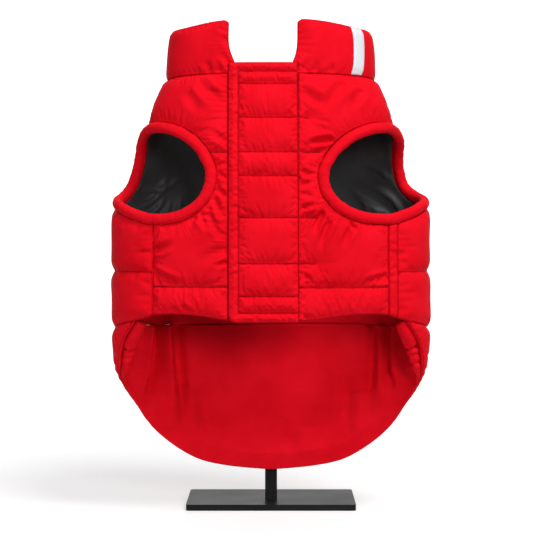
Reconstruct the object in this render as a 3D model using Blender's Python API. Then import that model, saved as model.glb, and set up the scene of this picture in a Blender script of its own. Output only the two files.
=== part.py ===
"""Padded dog jacket that rests on a small black metal display stand.

Metres, +Z up. The belly side with the closure faces -Y and the wearer's back faces +Y.
The origin is the middle of the base plate's underside.

Every cloth piece is cut from one surface, the jacket's plain inner face. A place on it is
an angle round the body (0 at the belly, 90 at the +X side, 180 at the back) and a height.
A piece is an outline of such places, filled with triangles, and its wall is that sheet
extruded outwards: thin along the seams and thick between them.
"""
from bisect import bisect_right
from math import ceil, cos, degrees, hypot, pi, radians, sin, sqrt

import bmesh
import bpy
from mathutils import Vector
from mathutils.geometry import delaunay_2d_cdt
from mathutils.kdtree import KDTree

# ---- driving dimensions, in metres -------------------------------------------------

PLATE_WIDTH = 0.140
PLATE_DEPTH = 0.089
PLATE_THICKNESS = 0.005
PLATE_CORNER = 0.003

POST_WIDTH = 0.010
POST_DEPTH = 0.006
POST_MIDDLE_Y = -0.0125
POST_ARM_TOP = 0.3636
POST_BEND = 0.010

HANGER_RADIUS = 0.005
HANGER_RISE = 0.020
HANGER_TIP_HEIGHT = 0.318

SEAM_GAP = 0.0003
LINING_GAP = 0.0008
LINING_THICKNESS = 0.0010

SEAM_THICKNESS = 0.0026
CROWN_THICKNESS = 0.0052
PUFF_REACH = 0.013

PLACKET_LEFT = -0.0325
PLACKET_RIGHT_TOP = 0.0203
PLACKET_RIGHT_BOTTOM = 0.0216
PLACKET_TOP = 0.3610
PLACKET_BOTTOM = 0.1592
PLACKET_CORNER = 0.0060
PLACKET_BORDER = 0.0078
PLACKET_FLAT = 0.0020
PLACKET_LIFT = 0.0029
PLACKET_SEAM = 0.0016
PLACKET_CROWN = 0.0042
PLACKET_REACH = 0.0080
PLACKET_MARGIN = 0.0009
PLACKET_ROW = 0.009
PLACKET_TURN = radians(4.5)
CLOSURE_X = -0.0062

SIDE_SEAM = 43.1
SHOULDER_SEAM = 92.0
BINDING_RADIUS = 0.0042
BINDING_OFFSET = 0.0022

STRIPE_LEFT = 0.0622
STRIPE_RIGHT = 0.0704
STRIPE_LIFT = 0.0003
STRIPE_THICKNESS = 0.0007

ROLL_RADIUS = 0.0040
ROLL_OVERHANG = 0.0011

# How full the body's section is: 0 is an ellipse, and more squares its corners.
FULLNESS = 0.03

# The plain inner face: height, half width, half depth, middle y.
BODY_SECTIONS = (
    (0.030, 0.1170, 0.0510, -0.0760),
    (0.090, 0.1185, 0.0510, -0.0762),
    (0.120, 0.1205, 0.0512, -0.0763),
    (0.153, 0.1222, 0.0514, -0.0765),
    (0.211, 0.1217, 0.0518, -0.0768),
    (0.252, 0.1205, 0.0512, -0.0768),
    (0.273, 0.1140, 0.0502, -0.0767),
    (0.298, 0.1030, 0.0480, -0.0766),
    (0.316, 0.0932, 0.0453, -0.0764),
    (0.332, 0.0875, 0.0425, -0.0761),
    (0.349, 0.0803, 0.0398, -0.0757),
    (0.370, 0.0783, 0.0385, -0.0750),
    (0.395, 0.0758, 0.0375, -0.0745),
)

# The belly hem, which goes on round the back as the tail's seam: degrees, height.
HEM_LINE = (
    (0.0, 0.1600),
    (14.0, 0.1610),
    (22.0, 0.1635),
    (31.0, 0.1653),
    (43.1, 0.1648),
    (51.0, 0.1614),
    (61.0, 0.1586),
    (75.0, 0.1556),
    (90.0, 0.1530),
    (110.0, 0.1530),
    (180.0, 0.1530),
)

# The seam between body and collar: degrees, height.
NECK_LINE = (
    (0.0, 0.3520),
    (20.0, 0.3525),
    (50.0, 0.3515),
    (90.0, 0.3490),
    (115.0, 0.3435),
    (145.0, 0.3300),
    (165.0, 0.3238),
    (180.0, 0.3225),
)

# The collar's upper edge: degrees, height.
COLLAR_TOP = (
    (0.0, 0.3940),
    (22.0, 0.3937),
    (55.0, 0.3900),
    (90.0, 0.3855),
    (115.0, 0.3785),
    (145.0, 0.3630),
    (165.0, 0.3562),
    (180.0, 0.3548),
)

# The collar's two front ends: share of its height, x of the +X end, x of the -X end.
COLLAR_ENDS = (
    (0.00, 0.0155, -0.0262),
    (0.22, 0.0170, -0.0280),
    (0.36, 0.0192, -0.0305),
    (0.55, 0.0204, -0.0325),
    (0.94, 0.0206, -0.0325),
)
COLLAR_CORNER = 2.5

# An armhole, forwards from the shoulder seam, down to the side seam and up behind:
# degrees, height.
ARMHOLE = (
    (92.0, 0.3078),
    (77.0, 0.3135),
    (60.0, 0.3146),
    (45.8, 0.3122),
    (34.4, 0.3060),
    (26.0, 0.2957),
    (20.7, 0.2818),
    (19.3, 0.2700),
    (20.2, 0.2580),
    (24.0, 0.2465),
    (32.0, 0.2375),
    (43.1, 0.2350),
    (56.0, 0.2385),
    (73.0, 0.2445),
    (92.0, 0.2490),
    (107.5, 0.2535),
    (116.0, 0.2605),
    (118.5, 0.2710),
    (115.5, 0.2860),
    (106.5, 0.2985),
)
ARMHOLE_SIDE_SEAM_ROW = 11

# How far each armhole reaches towards the belly, in degrees, by side.
ARMHOLE_FRONT = {-1: 19.3, 1: 16.6}

# How far each armhole reaches towards the middle of the back, in degrees, by side.
ARMHOLE_BACK = {-1: 114.5, 1: 121.0}

# The tail's free edge from its corner at the side to the middle of the back:
# degrees, height.
TAIL_EDGE = (
    (56.5, 0.1590),
    (63.0, 0.1503),
    (71.0, 0.1405),
    (77.0, 0.1305),
    (82.0, 0.1215),
    (90.0, 0.1130),
    (101.0, 0.1035),
    (115.5, 0.0895),
    (123.2, 0.0770),
    (130.8, 0.0655),
    (142.2, 0.0512),
    (152.5, 0.0407),
    (162.5, 0.0355),
    (172.3, 0.0328),
    (180.0, 0.0315),
)

# Stitched lines across the placket, by height, below its top border and above its
# bottom one.
PLACKET_LINES = (0.3536, 0.3436, 0.3172, 0.2908, 0.2725, 0.2403, 0.2048, 0.1796, 0.1667)

# Stitched lines on the fronts: side, height, x where it starts, x where it ends.
FRONT_LINES = (
    (-1, 0.1868, -0.0335, -0.0925),
    (-1, 0.2908, -0.0335, -0.0460),
    (-1, 0.2415, -0.0480, -0.0560),
    (1, 0.1864, 0.0225, 0.0920),
    (1, 0.2048, 0.0225, 0.0345),
    (1, 0.2403, 0.0225, 0.0360),
    (1, 0.2908, 0.0225, 0.0375),
    (1, 0.3172, 0.0225, 0.0290),
)

# Stitched lines round the sides and back, and round the tail, by height.
BACK_LINES = (0.1982, 0.2434, 0.2886)
BACK_LINES_START = 100.0
TAIL_LINES = (0.1080, 0.0680)
TAIL_LINES_START = 70.0

# The second row of stitches beside the +X side seam: degrees, heights.
SIDE_STITCH = 47.3
SIDE_STITCH_HEIGHTS = (0.1650, 0.2000, 0.2340)

# ---- how finely the sheets are cut -------------------------------------------------

COLUMN = radians(7.5)
ROW = 0.011
EDGE_STEP = 0.0085
LINING_ROW = 0.013
LINING_EDGE_STEP = 0.0085
FLANK = 0.0032
CLEARANCE = 0.0042
SHEET_RADIUS = 0.090
ARC_STEPS = 2


# ---- reading tables and the surface ------------------------------------------------

def read_smooth(rows, key):
    """The values of a table at key, on a smooth curve through its rows."""
    key = min(max(key, rows[0][0]), rows[-1][0])
    index = min(bisect_right([row[0] for row in rows], key), len(rows) - 1) - 1
    start, end = rows[index], rows[index + 1]
    before, after = rows[max(index - 1, 0)], rows[min(index + 2, len(rows) - 1)]
    span = end[0] - start[0]
    t = (key - start[0]) / span
    values = []
    for column in range(1, len(start)):
        slope_in = (end[column] - before[column]) / (end[0] - before[0]) * span
        slope_out = (after[column] - start[column]) / (after[0] - start[0]) * span
        rise = end[column] - start[column]
        values.append(start[column] + t * slope_in
                      + t * t * (3 * rise - 2 * slope_in - slope_out)
                      + t ** 3 * (slope_in + slope_out - 2 * rise))
    return values


def line_height(rows, angle):
    """Height of a line that runs round the body, the same on both sides."""
    turn = degrees(angle) % 360
    return read_smooth(rows, min(turn, 360 - turn))[0]


def surface_point(angle, height):
    """Point on the jacket's plain inner face."""
    half_width, half_depth, middle = read_smooth(BODY_SECTIONS, height)
    x = half_width * (sin(angle) + FULLNESS * sin(3 * angle)) / (1 - FULLNESS)
    y = half_depth * (cos(angle) - FULLNESS * cos(3 * angle)) / (1 - FULLNESS)
    return Vector((x, middle - y, height))


def surface_normal(angle, height):
    """Direction straight out of the inner face."""
    nudge = 0.001
    around = surface_point(angle + nudge, height) - surface_point(angle - nudge, height)
    up = surface_point(angle, height + nudge) - surface_point(angle, height - nudge)
    return around.cross(up).normalized()


def cloth_point(angle, height, offset):
    """Point at a distance outside the inner face."""
    return surface_point(angle, height) + surface_normal(angle, height) * offset


def angle_at(x, height):
    """Angle of the place on the belly side with this x."""
    low, high = -pi / 2, pi / 2
    for _ in range(30):
        middle = (low + high) / 2
        if surface_point(middle, height).x < x:
            low = middle
        else:
            high = middle
    return (low + high) / 2


def around_scale(angle, height):
    """Metres per radian round the body at a place."""
    nudge = 0.01
    step = surface_point(angle + nudge, height) - surface_point(angle - nudge, height)
    return step.length / (2 * nudge)


# ---- cutting sheets ----------------------------------------------------------------

def along(start, end, step):
    """Places from start up to but not including end, a step apart at most."""
    scale = around_scale((start[0] + end[0]) / 2, (start[1] + end[1]) / 2)
    length = hypot((end[0] - start[0]) * scale, end[1] - start[1])
    pieces = max(1, ceil(length / step - 0.2), ceil(abs(end[0] - start[0]) / COLUMN - 0.2))
    return [(start[0] + (end[0] - start[0]) * i / pieces,
             start[1] + (end[1] - start[1]) * i / pieces) for i in range(pieces)]


def drawn(places, step, closed=True):
    """A polyline with its long stretches divided."""
    ends = places[1:] + places[:1] if closed else places[1:]
    result = [place for start, end in zip(places, ends) for place in along(start, end, step)]
    return result if closed else result + [places[-1]]


def inset(outline, distance):
    """An outline that runs anticlockwise, moved inwards by a distance."""
    result = []
    for before, here, after in zip(outline[-1:] + outline[:-1], outline, outline[1:] + outline[:1]):
        scale = around_scale(*here)
        sides = []
        for start, end in ((before, here), (here, after)):
            side = Vector(((end[0] - start[0]) * scale, end[1] - start[1])).normalized()
            sides.append(Vector((-side.y, side.x)))
        corner = (sides[0] + sides[1]).normalized()
        reach = distance / max(corner.dot(sides[0]), 0.5)
        result.append((here[0] + corner.x * reach / scale, here[1] + corner.y * reach))
    return result


def is_inside(place, outline):
    """Whether a place lies inside an outline."""
    inside = False
    for (ax, ay), (bx, by) in zip(outline, outline[1:] + outline[:1]):
        if (ay > place[1]) != (by > place[1]):
            if place[0] < ax + (place[1] - ay) * (bx - ax) / (by - ay):
                inside = not inside
    return inside


def tree_of(places):
    """Search tree of places, by where they are in space."""
    tree = KDTree(len(places))
    for index, place in enumerate(places):
        tree.insert(surface_point(*place), index)
    tree.balance()
    return tree


def cut_sheet(outline, lines=(), row=ROW, step=EDGE_STEP, turn=COLUMN):
    """Triangles inside an outline, with edges along the lines: places and faces."""
    edge = inset(drawn(outline, step), SEAM_GAP / 2)
    edge_tree = tree_of(edge)

    def is_free(place, tree, distance):
        return is_inside(place, edge) and tree.find(surface_point(*place))[2] > distance

    places = list(edge)
    constraints = []
    for line in lines:
        kept = [place for place in drawn(list(line), step, closed=False)
                if is_free(place, edge_tree, CLEARANCE * 0.7)]
        joined = [len(places) + i for i in range(len(kept))]
        for end, index in ((line[0], 0), (line[-1], len(joined) + 1)):
            nearest = edge_tree.find(surface_point(*end))
            if nearest[2] < 2 * SEAM_GAP:
                joined.insert(index, nearest[1])
        constraints += list(zip(joined, joined[1:]))
        places += kept
    for line in lines:
        taken = tree_of(places)
        for (start, end) in zip(line, line[1:]):
            scale = around_scale(*start)
            run = Vector(((end[0] - start[0]) * scale, end[1] - start[1])).normalized()
            for place in along(start, end, step):
                for side in (-FLANK, FLANK):
                    beside = (place[0] - run.y * side / scale, place[1] + run.x * side)
                    if is_free(beside, taken, FLANK * 0.9):
                        places.append(beside)
    taken = tree_of(places)
    lowest = min(place[1] for place in edge)
    highest = max(place[1] for place in edge)
    first = min(place[0] for place in edge)
    last = max(place[0] for place in edge)
    for column in range(ceil(first / turn), int(last // turn) + 1):
        for level in range(int((highest - lowest) / row) + 1):
            place = (column * turn, lowest + (level + 0.5) * row)
            if is_free(place, taken, CLEARANCE):
                places.append(place)
    flat = [Vector((angle * SHEET_RADIUS, height)) for angle, height in places]
    cut = delaunay_2d_cdt(flat, constraints, [list(range(len(edge)))], 1, 1e-7)
    return [(point.x / SHEET_RADIUS, point.y) for point in cut[0]], cut[2]


def puffed(lines, seam, crown, reach):
    """Thickness function: seam on the lines, rounding up to crown at reach from them."""
    marks = []
    for line in lines:
        marks += drawn(list(line), 0.002, closed=False)
    tree = tree_of(marks)

    def thickness(angle, height):
        share = min(tree.find(surface_point(angle, height))[2] / reach, 1.0)
        return seam + (crown - seam) * sqrt(1 - (1 - share) ** 2)

    return thickness


def make_wall(name, sheet, inner, thickness, material):
    """Closed wall on a sheet: inner is the offset of its plain face, a number or a
    function of the place, and thickness is a function of the place."""
    places, faces = sheet
    offset = inner if callable(inner) else lambda angle, height: inner
    mesh = bmesh.new()
    angle_layer = mesh.verts.layers.float.new("angle")
    height_layer = mesh.verts.layers.float.new("height")
    corners = []
    for angle, height in places:
        corner = mesh.verts.new(cloth_point(angle, height, offset(angle, height)))
        corner[angle_layer] = angle
        corner[height_layer] = height
        corners.append(corner)
    for face in faces:
        mesh.faces.new([corners[index] for index in face])
    for corner in [vert for vert in mesh.verts if not vert.link_faces]:
        mesh.verts.remove(corner)
    plain = list(mesh.faces)
    grown = bmesh.ops.extrude_face_region(mesh, geom=plain, use_keep_orig=True)
    for item in grown["geom"]:
        if isinstance(item, bmesh.types.BMVert):
            place = item[angle_layer], item[height_layer]
            item.co = cloth_point(*place, offset(*place) + thickness(*place))
    bmesh.ops.recalc_face_normals(mesh, faces=mesh.faces)
    return finish_mesh(name, mesh, material)


# ---- objects and materials ---------------------------------------------------------

def make_material(name, colour, roughness, metallic=0.0):
    material = bpy.data.materials.new(name)
    material.use_nodes = True
    shader = material.node_tree.nodes["Principled BSDF"]
    shader.inputs["Base Color"].default_value = (*colour, 1)
    shader.inputs["Roughness"].default_value = roughness
    shader.inputs["Metallic"].default_value = metallic
    return material


def add_object(name, data, material):
    """Object in the model's collection, with its one material."""
    item = bpy.data.objects.new(name, data)
    data.materials.append(material)
    bpy.data.collections["padded_dog_jacket"].objects.link(item)
    return item


def finish_mesh(name, mesh, material):
    """Object from a bmesh, shaded smooth with its sharp edges kept."""
    data = bpy.data.meshes.new(name)
    mesh.to_mesh(data)
    mesh.free()
    data.shade_smooth()
    data.set_sharp_from_angle(angle=radians(50))
    return add_object(name, data, material)


def make_tube(name, points, radius, material, shares=None, cyclic=False, sides=2):
    """Round tube through points; shares are its radius at each point, as a share."""
    data = bpy.data.curves.new(name, "CURVE")
    data.dimensions = "3D"
    data.bevel_depth = radius
    data.bevel_resolution = sides
    data.use_fill_caps = not cyclic
    spline = data.splines.new("POLY")
    spline.points.add(len(points) - 1)
    for index, (knot, point) in enumerate(zip(spline.points, points)):
        knot.co = (*point, 1)
        if shares:
            knot.radius = shares[index]
    spline.use_cyclic_u = cyclic
    return add_object(name, data, material)


def make_slab(name, outline, thickness, material):
    """Flat outline with a thickness, in its own XY plane."""
    data = bpy.data.curves.new(name, "CURVE")
    data.dimensions = "2D"
    data.fill_mode = "BOTH"
    data.extrude = thickness / 2
    spline = data.splines.new("POLY")
    spline.points.add(len(outline) - 1)
    for knot, (x, y) in zip(spline.points, outline):
        knot.co = (x, y, 0, 1)
    spline.use_cyclic_u = True
    return add_object(name, data, material)


# ---- seam lines --------------------------------------------------------------------

def line_round(rows, start, end, step=radians(5)):
    """Places on a line that runs round the body, between two angles."""
    count = max(2, ceil(abs(end - start) / step))
    angles = [start + (end - start) * i / count for i in range(count + 1)]
    return [(angle, line_height(rows, angle)) for angle in angles]


def line_straight(start, end):
    """Places on a straight line across the belly side; its ends are x and height."""
    count = ceil(hypot(end[0] - start[0], end[1] - start[1]) / 0.015)
    places = []
    for i in range(count + 1):
        height = start[1] + (end[1] - start[1]) * i / count
        places.append((angle_at(start[0] + (end[0] - start[0]) * i / count, height), height))
    return places


def line_upright(x, bottom, top):
    """Places on an upright line at x."""
    return line_straight((x, bottom), (x, top))


def line_across(height, start_x, end_x):
    """Places on a level line."""
    return line_straight((start_x, height), (end_x, height))


def line_level(height, start, end):
    """Places on a level line between two angles."""
    count = ceil(abs(end - start) / COLUMN)
    return [(start + (end - start) * i / count, height) for i in range(count + 1)]


def armhole_places(side):
    """The rows of an armhole's outline on one side of the body."""
    front = ARMHOLE_FRONT[side]
    stretch = (SIDE_SEAM - front) / (SIDE_SEAM - ARMHOLE[7][0])
    furthest = max(angle for angle, height in ARMHOLE)
    behind = (ARMHOLE_BACK[side] - SHOULDER_SEAM) / (furthest - SHOULDER_SEAM)
    places = []
    for angle, height in ARMHOLE:
        if angle < SIDE_SEAM:
            angle = SIDE_SEAM - (SIDE_SEAM - angle) * stretch
        if angle > SHOULDER_SEAM:
            angle = SHOULDER_SEAM + (angle - SHOULDER_SEAM) * behind
        places.append((radians(angle), height))
    return places


def round_loop(places, per_span):
    """Closed smooth curve through places."""
    count = len(places)
    result = []
    for index in range(count):
        around = [places[(index + shift) % count] for shift in (-1, 0, 1, 2)]
        for step in range(per_span):
            t = step / per_span
            weights = (-t / 2 + t * t - t ** 3 / 2, 1 - 2.5 * t * t + 1.5 * t ** 3,
                       t / 2 + 2 * t * t - 1.5 * t ** 3, -t * t / 2 + t ** 3 / 2)
            result.append((sum(w * p[0] for w, p in zip(weights, around)),
                           sum(w * p[1] for w, p in zip(weights, around))))
    return result


def armhole_arcs(side):
    """The armhole's outline in front of the shoulder and side seams, and behind them,
    both from the shoulder seam to the side seam, at angles from 0 to 180."""
    loop = round_loop(armhole_places(side), ARC_STEPS)
    split = ARMHOLE_SIDE_SEAM_ROW * ARC_STEPS
    return loop[:split + 1], [loop[0]] + loop[:split - 1:-1]


# ---- the pieces of cloth -----------------------------------------------------------

def placket_edge(side):
    """x of the placket's upright edge on one side."""
    return PLACKET_LEFT if side < 0 else PLACKET_RIGHT_BOTTOM


def covered_line(side):
    """Places on a front, just clear of the placket's edge."""
    return line_upright(placket_edge(side) + side * PLACKET_MARGIN, HEM_LINE[0][1],
                        NECK_LINE[0][1])


def front_outline(side):
    """A front from its side seam to the closure, anticlockwise when seen from outside."""
    seam = side * radians(SIDE_SEAM)
    arc = [(side * angle, height) for angle, height in armhole_arcs(side)[0]]
    closure = line_upright(CLOSURE_X, HEM_LINE[0][1], NECK_LINE[0][1])
    covered = covered_line(side)
    hem = line_round(HEM_LINE, seam, covered[0][0])[:-1]
    hem += line_round(HEM_LINE, covered[0][0], closure[0][0])
    neck = line_round(NECK_LINE, closure[-1][0], covered[-1][0])[:-1]
    neck += line_round(NECK_LINE, covered[-1][0], side * radians(SHOULDER_SEAM))
    around = hem[:-1] + closure[:-1] + neck + arc
    return around if side < 0 else around[::-1]


def back_outline():
    """The back with both sides, from the +X side seam round to the other."""
    turn = 2 * pi
    right = armhole_arcs(1)[1]
    left = [(turn - angle, height) for angle, height in armhole_arcs(-1)[1]]
    hem = line_round(HEM_LINE, right[-1][0], left[-1][0])
    neck = line_round(NECK_LINE, left[0][0], right[0][0])
    return hem + left[::-1] + neck + right


def tail_edge_line():
    """The tail's free edge from its +X corner down and round to the other."""
    half = [(radians(angle), height) for angle, height in TAIL_EDGE]
    return half + [(2 * pi - angle, height) for angle, height in half[-2::-1]]


def tail_outline():
    edge = tail_edge_line()
    top = line_round(HEM_LINE, edge[-1][0], edge[0][0])
    return edge[1:-1] + top


def collar_outline():
    """The collar round the back, from its +X end to its -X end, with the little curve
    at the foot of each end that tucks behind the placket."""
    turn = 2 * pi
    foot = NECK_LINE[0][1]
    top = COLLAR_TOP[0][1]
    heights = [foot + (top - foot) * row[0] for row in COLLAR_ENDS]
    right = [(angle_at(row[1], height), height) for row, height in zip(COLLAR_ENDS, heights)]
    left = [(angle_at(row[2], height) + turn, height)
            for row, height in zip(COLLAR_ENDS, heights)]
    rounding = radians(COLLAR_CORNER)
    upper = line_round(COLLAR_TOP, left[-1][0] - rounding, right[-1][0] + rounding)
    lower = line_round(NECK_LINE, right[0][0], left[0][0])
    return lower + left[1:] + upper + right[:0:-1]


def placket_outline():
    """The flap over the closure, with its lower free corner rounded."""
    right = line_straight((PLACKET_RIGHT_BOTTOM, PLACKET_BOTTOM), (PLACKET_RIGHT_TOP, PLACKET_TOP))
    middle = (PLACKET_LEFT + PLACKET_CORNER, PLACKET_BOTTOM + PLACKET_CORNER)
    corner = []
    for step in range(5):
        turn = pi + step * pi / 8
        x = middle[0] + PLACKET_CORNER * cos(turn)
        height = middle[1] + PLACKET_CORNER * sin(turn)
        corner.append((angle_at(x, height), height))
    left = line_upright(PLACKET_LEFT, middle[1], PLACKET_TOP)
    bottom = line_across(PLACKET_BOTTOM, middle[0], PLACKET_RIGHT_BOTTOM)
    top = line_across(PLACKET_TOP, PLACKET_RIGHT_TOP, PLACKET_LEFT)
    return corner + bottom[1:-1] + right[:-1] + top[:-1] + left[:0:-1]


def make_fronts(cloth, lining):
    for side, word in ((-1, "left"), (1, "right")):
        outline = front_outline(side)
        covered = covered_line(side)
        lines = [line_across(height, start, end)
                 for line_side, height, start, end in FRONT_LINES if line_side == side]
        sheet = cut_sheet(outline, lines + [covered])
        padding = puffed(lines + [covered, outline + outline[:1]],
                         SEAM_THICKNESS, CROWN_THICKNESS, PUFF_REACH)

        def thickness(angle, height, edge=placket_edge(side), beyond=side, padding=padding):
            hidden = (surface_point(angle, height).x - edge) * beyond < PLACKET_MARGIN * 1.1
            return PLACKET_FLAT if hidden else padding(angle, height)

        make_wall("front_" + word, sheet, 0.0, thickness, cloth)
        plain = cut_sheet(outline, row=LINING_ROW, step=LINING_EDGE_STEP)
        make_wall("lining_front_" + word, plain, -LINING_GAP - LINING_THICKNESS,
                  lambda angle, height: LINING_THICKNESS, lining)


def make_back(cloth, lining):
    outline = back_outline()
    seams = [line_level(height, radians(SIDE_SEAM), 2 * pi - radians(SIDE_SEAM))
             for height in BACK_LINES[:1]]
    behind = radians(BACK_LINES_START)
    seams += [line_level(height, behind, 2 * pi - behind) for height in BACK_LINES[1:]]
    stitch = [(radians(SIDE_STITCH), height) for height in SIDE_STITCH_HEIGHTS]
    sheet = cut_sheet(outline, seams + [stitch])
    thickness = puffed(seams + [stitch, outline + outline[:1]],
                       SEAM_THICKNESS, CROWN_THICKNESS, PUFF_REACH)
    make_wall("back", sheet, 0.0, thickness, cloth)
    plain = cut_sheet(outline, row=LINING_ROW, step=LINING_EDGE_STEP)
    make_wall("lining_back", plain, -LINING_GAP - LINING_THICKNESS,
              lambda angle, height: LINING_THICKNESS, lining)


def make_tail(cloth):
    outline = tail_outline()
    start = radians(TAIL_LINES_START)
    seams = [line_level(height, start, 2 * pi - start) for height in TAIL_LINES]
    sheet = cut_sheet(outline, seams)
    thickness = puffed(seams + [outline + outline[:1]],
                       SEAM_THICKNESS, CROWN_THICKNESS, PUFF_REACH)
    make_wall("tail", sheet, 0.0, thickness, cloth)


def make_tail_rolls(cloth):
    """The padded hem that curls inwards at each corner of the tail."""
    rows = [(radians(angle), height) for angle, height in TAIL_EDGE[:7]]
    shares = (0.45, 0.85, 1.0, 1.0, 0.95, 0.75, 0.35)
    for side, word in ((-1, "left"), (1, "right")):
        points = []
        for (angle, height), share in zip(rows, shares):
            forward = ROLL_OVERHANG * share / around_scale(angle, height)
            sunk = ROLL_RADIUS * share + SEAM_GAP
            points.append(cloth_point(side * (angle - forward), height - ROLL_OVERHANG, -sunk))
        make_tube("tail_roll_" + word, smooth_path(points, 2), ROLL_RADIUS, cloth,
                  shares=smooth_shares(shares, 2))


def smooth_path(points, per_span):
    """Points on a smooth curve through a few points in space."""
    keys = list(range(len(points)))
    rows = [(key, *point) for key, point in zip(keys, points)]
    count = (len(points) - 1) * per_span
    return [Vector(read_smooth(rows, i / per_span)) for i in range(count + 1)]


def smooth_shares(shares, per_span):
    rows = [(key, share) for key, share in enumerate(shares)]
    count = (len(shares) - 1) * per_span
    return [read_smooth(rows, i / per_span)[0] for i in range(count + 1)]


def make_collar(cloth, tape):
    """The stand-up collar, and the pale tape that lies on its +X side."""
    outline = collar_outline()
    foot, top = NECK_LINE[0][1], COLLAR_TOP[0][1]
    edges = [line_upright(x, foot, top) for x in (STRIPE_LEFT, STRIPE_RIGHT)]
    beside = PLACKET_MARGIN
    roof = PLACKET_TOP + beside
    for x, end_x, turn in ((PLACKET_LEFT - beside, COLLAR_ENDS[1][2], 2 * pi),
                           (PLACKET_RIGHT_TOP + beside, COLLAR_ENDS[1][1], 0.0)):
        corner = [(angle_at(x, height) + turn, height)
                  for height in (foot, (foot + roof) / 2, roof)]
        edges.append(corner + [(angle_at(end_x, roof) + turn, roof)])
    sheet = cut_sheet(outline, edges)
    padding = puffed(edges[2:] + [outline + outline[:1]],
                     SEAM_THICKNESS, CROWN_THICKNESS, PUFF_REACH)

    def thickness(angle, height):
        x = surface_point(angle, height).x
        covered = (cos(angle) > 0 and height < roof + beside / 9
                   and PLACKET_LEFT - beside * 1.1 < x < PLACKET_RIGHT_TOP + beside * 1.1)
        return PLACKET_FLAT if covered else padding(angle, height)

    make_wall("collar", sheet, 0.0, thickness, cloth)
    places, faces = sheet

    def under_tape(face):
        angle = sum(places[index][0] for index in face) / len(face)
        height = sum(places[index][1] for index in face) / len(face)
        x = surface_point(angle, height).x
        return cos(angle) > 0 and STRIPE_LEFT < x < STRIPE_RIGHT

    make_wall("collar_stripe", (places, [face for face in faces if under_tape(face)]),
              lambda angle, height: padding(angle, height) + STRIPE_LIFT,
              lambda angle, height: STRIPE_THICKNESS, tape)


def make_placket(cloth):
    outline = placket_outline()
    inner_left = PLACKET_LEFT + PLACKET_BORDER
    lines = [line_across(height, inner_left, PLACKET_RIGHT_TOP) for height in PLACKET_LINES]
    lines.append(line_upright(inner_left, PLACKET_LINES[-1], PLACKET_LINES[0]))
    sheet = cut_sheet(outline, lines, row=PLACKET_ROW, turn=PLACKET_TURN)
    thickness = puffed(lines + [outline + outline[:1]],
                       PLACKET_SEAM, PLACKET_CROWN, PLACKET_REACH)
    make_wall("placket", sheet, PLACKET_LIFT, thickness, cloth)


def make_bindings(cloth):
    """The padded edge of each armhole, a ring just inside the panels' edges."""
    for side, word in ((-1, "left"), (1, "right")):
        loop = round_loop(armhole_places(side), ARC_STEPS)
        into_hole = inset(loop, BINDING_RADIUS + SEAM_GAP)
        points = [cloth_point(side * angle, height, BINDING_OFFSET) for angle, height in into_hole]
        make_tube("armhole_binding_" + word, points, BINDING_RADIUS, cloth, cyclic=True)


# ---- the stand ---------------------------------------------------------------------

def make_base(metal):
    half_width = PLATE_WIDTH / 2 - PLATE_CORNER
    half_depth = PLATE_DEPTH / 2 - PLATE_CORNER
    outline = []
    for quarter, (x, y) in enumerate(((1, 1), (-1, 1), (-1, -1), (1, -1))):
        for step in range(5):
            turn = (quarter + step / 4) * pi / 2
            outline.append((x * half_width + PLATE_CORNER * cos(turn),
                            y * half_depth + PLATE_CORNER * sin(turn)))
    plate = make_slab("base_plate", outline, PLATE_THICKNESS, metal)
    plate.location.z = PLATE_THICKNESS / 2


def hanger_y():
    return read_smooth(BODY_SECTIONS, HANGER_TIP_HEIGHT)[2]


def hanger_tip_x():
    """How far out a tip's middle lies, so that it is a seam's gap from the lining."""
    clear = HANGER_RADIUS + SEAM_GAP
    inner = -LINING_GAP - LINING_THICKNESS
    walls = [cloth_point(pi / 2, HANGER_TIP_HEIGHT + rise / 1000, inner) for rise in range(-6, 13)]
    low, high = 0.06, walls[0].x
    for _ in range(30):
        middle = (low + high) / 2
        tip = Vector((middle, walls[0].y, HANGER_TIP_HEIGHT))
        if min((wall - tip).length for wall in walls) > clear:
            low = middle
        else:
            high = middle
    return low


def make_hanger(metal):
    """The bowed bar inside the shoulders, with rounded tips."""
    tip_x = hanger_tip_x()
    count = 16
    bow = []
    for step in range(count + 1):
        share = 2 * step / count - 1
        bow.append((tip_x * share, HANGER_RISE * cos(share * pi / 2), 1.0))
    # how far past the tip's middle, as a share of the radius, and the share that is left
    rounding = ((0.45, 0.89), (0.80, 0.60), (0.97, 0.24))
    right = [(tip_x + HANGER_RADIUS * reach, 0.0, share) for reach, share in rounding]
    left = [(-x, rise, share) for x, rise, share in right[::-1]]
    rows = left + bow + right
    points = [(x, hanger_y(), HANGER_TIP_HEIGHT + rise) for x, rise, share in rows]
    make_tube("hanger", points, HANGER_RADIUS, metal, shares=[row[2] for row in rows])


def make_post(metal):
    """The flat bar that stands behind the jacket and bends over its collar."""
    half = POST_DEPTH / 2
    arm = POST_ARM_TOP - half
    foot = PLATE_THICKNESS + SEAM_GAP
    end_y = hanger_y()
    end = HANGER_TIP_HEIGHT + HANGER_RISE + HANGER_RADIUS + SEAM_GAP
    bends = ((POST_MIDDLE_Y - POST_BEND, arm - POST_BEND, 0.0),
             (end_y + POST_BEND, arm - POST_BEND, pi / 2))

    def path(shift):
        """One side of the bar: y and z, at a distance from its middle line."""
        places = [(POST_MIDDLE_Y + shift, foot)]
        for y, z, start in bends:
            for step in range(7):
                turn = start + step * pi / 12
                reach = POST_BEND + shift
                places.append((y + reach * cos(turn), z + reach * sin(turn)))
        return places + [(end_y - shift, end)]

    post = make_slab("post", path(half) + path(-half)[::-1], POST_WIDTH, metal)
    post.rotation_euler = (pi / 2, 0, pi / 2)


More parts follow.
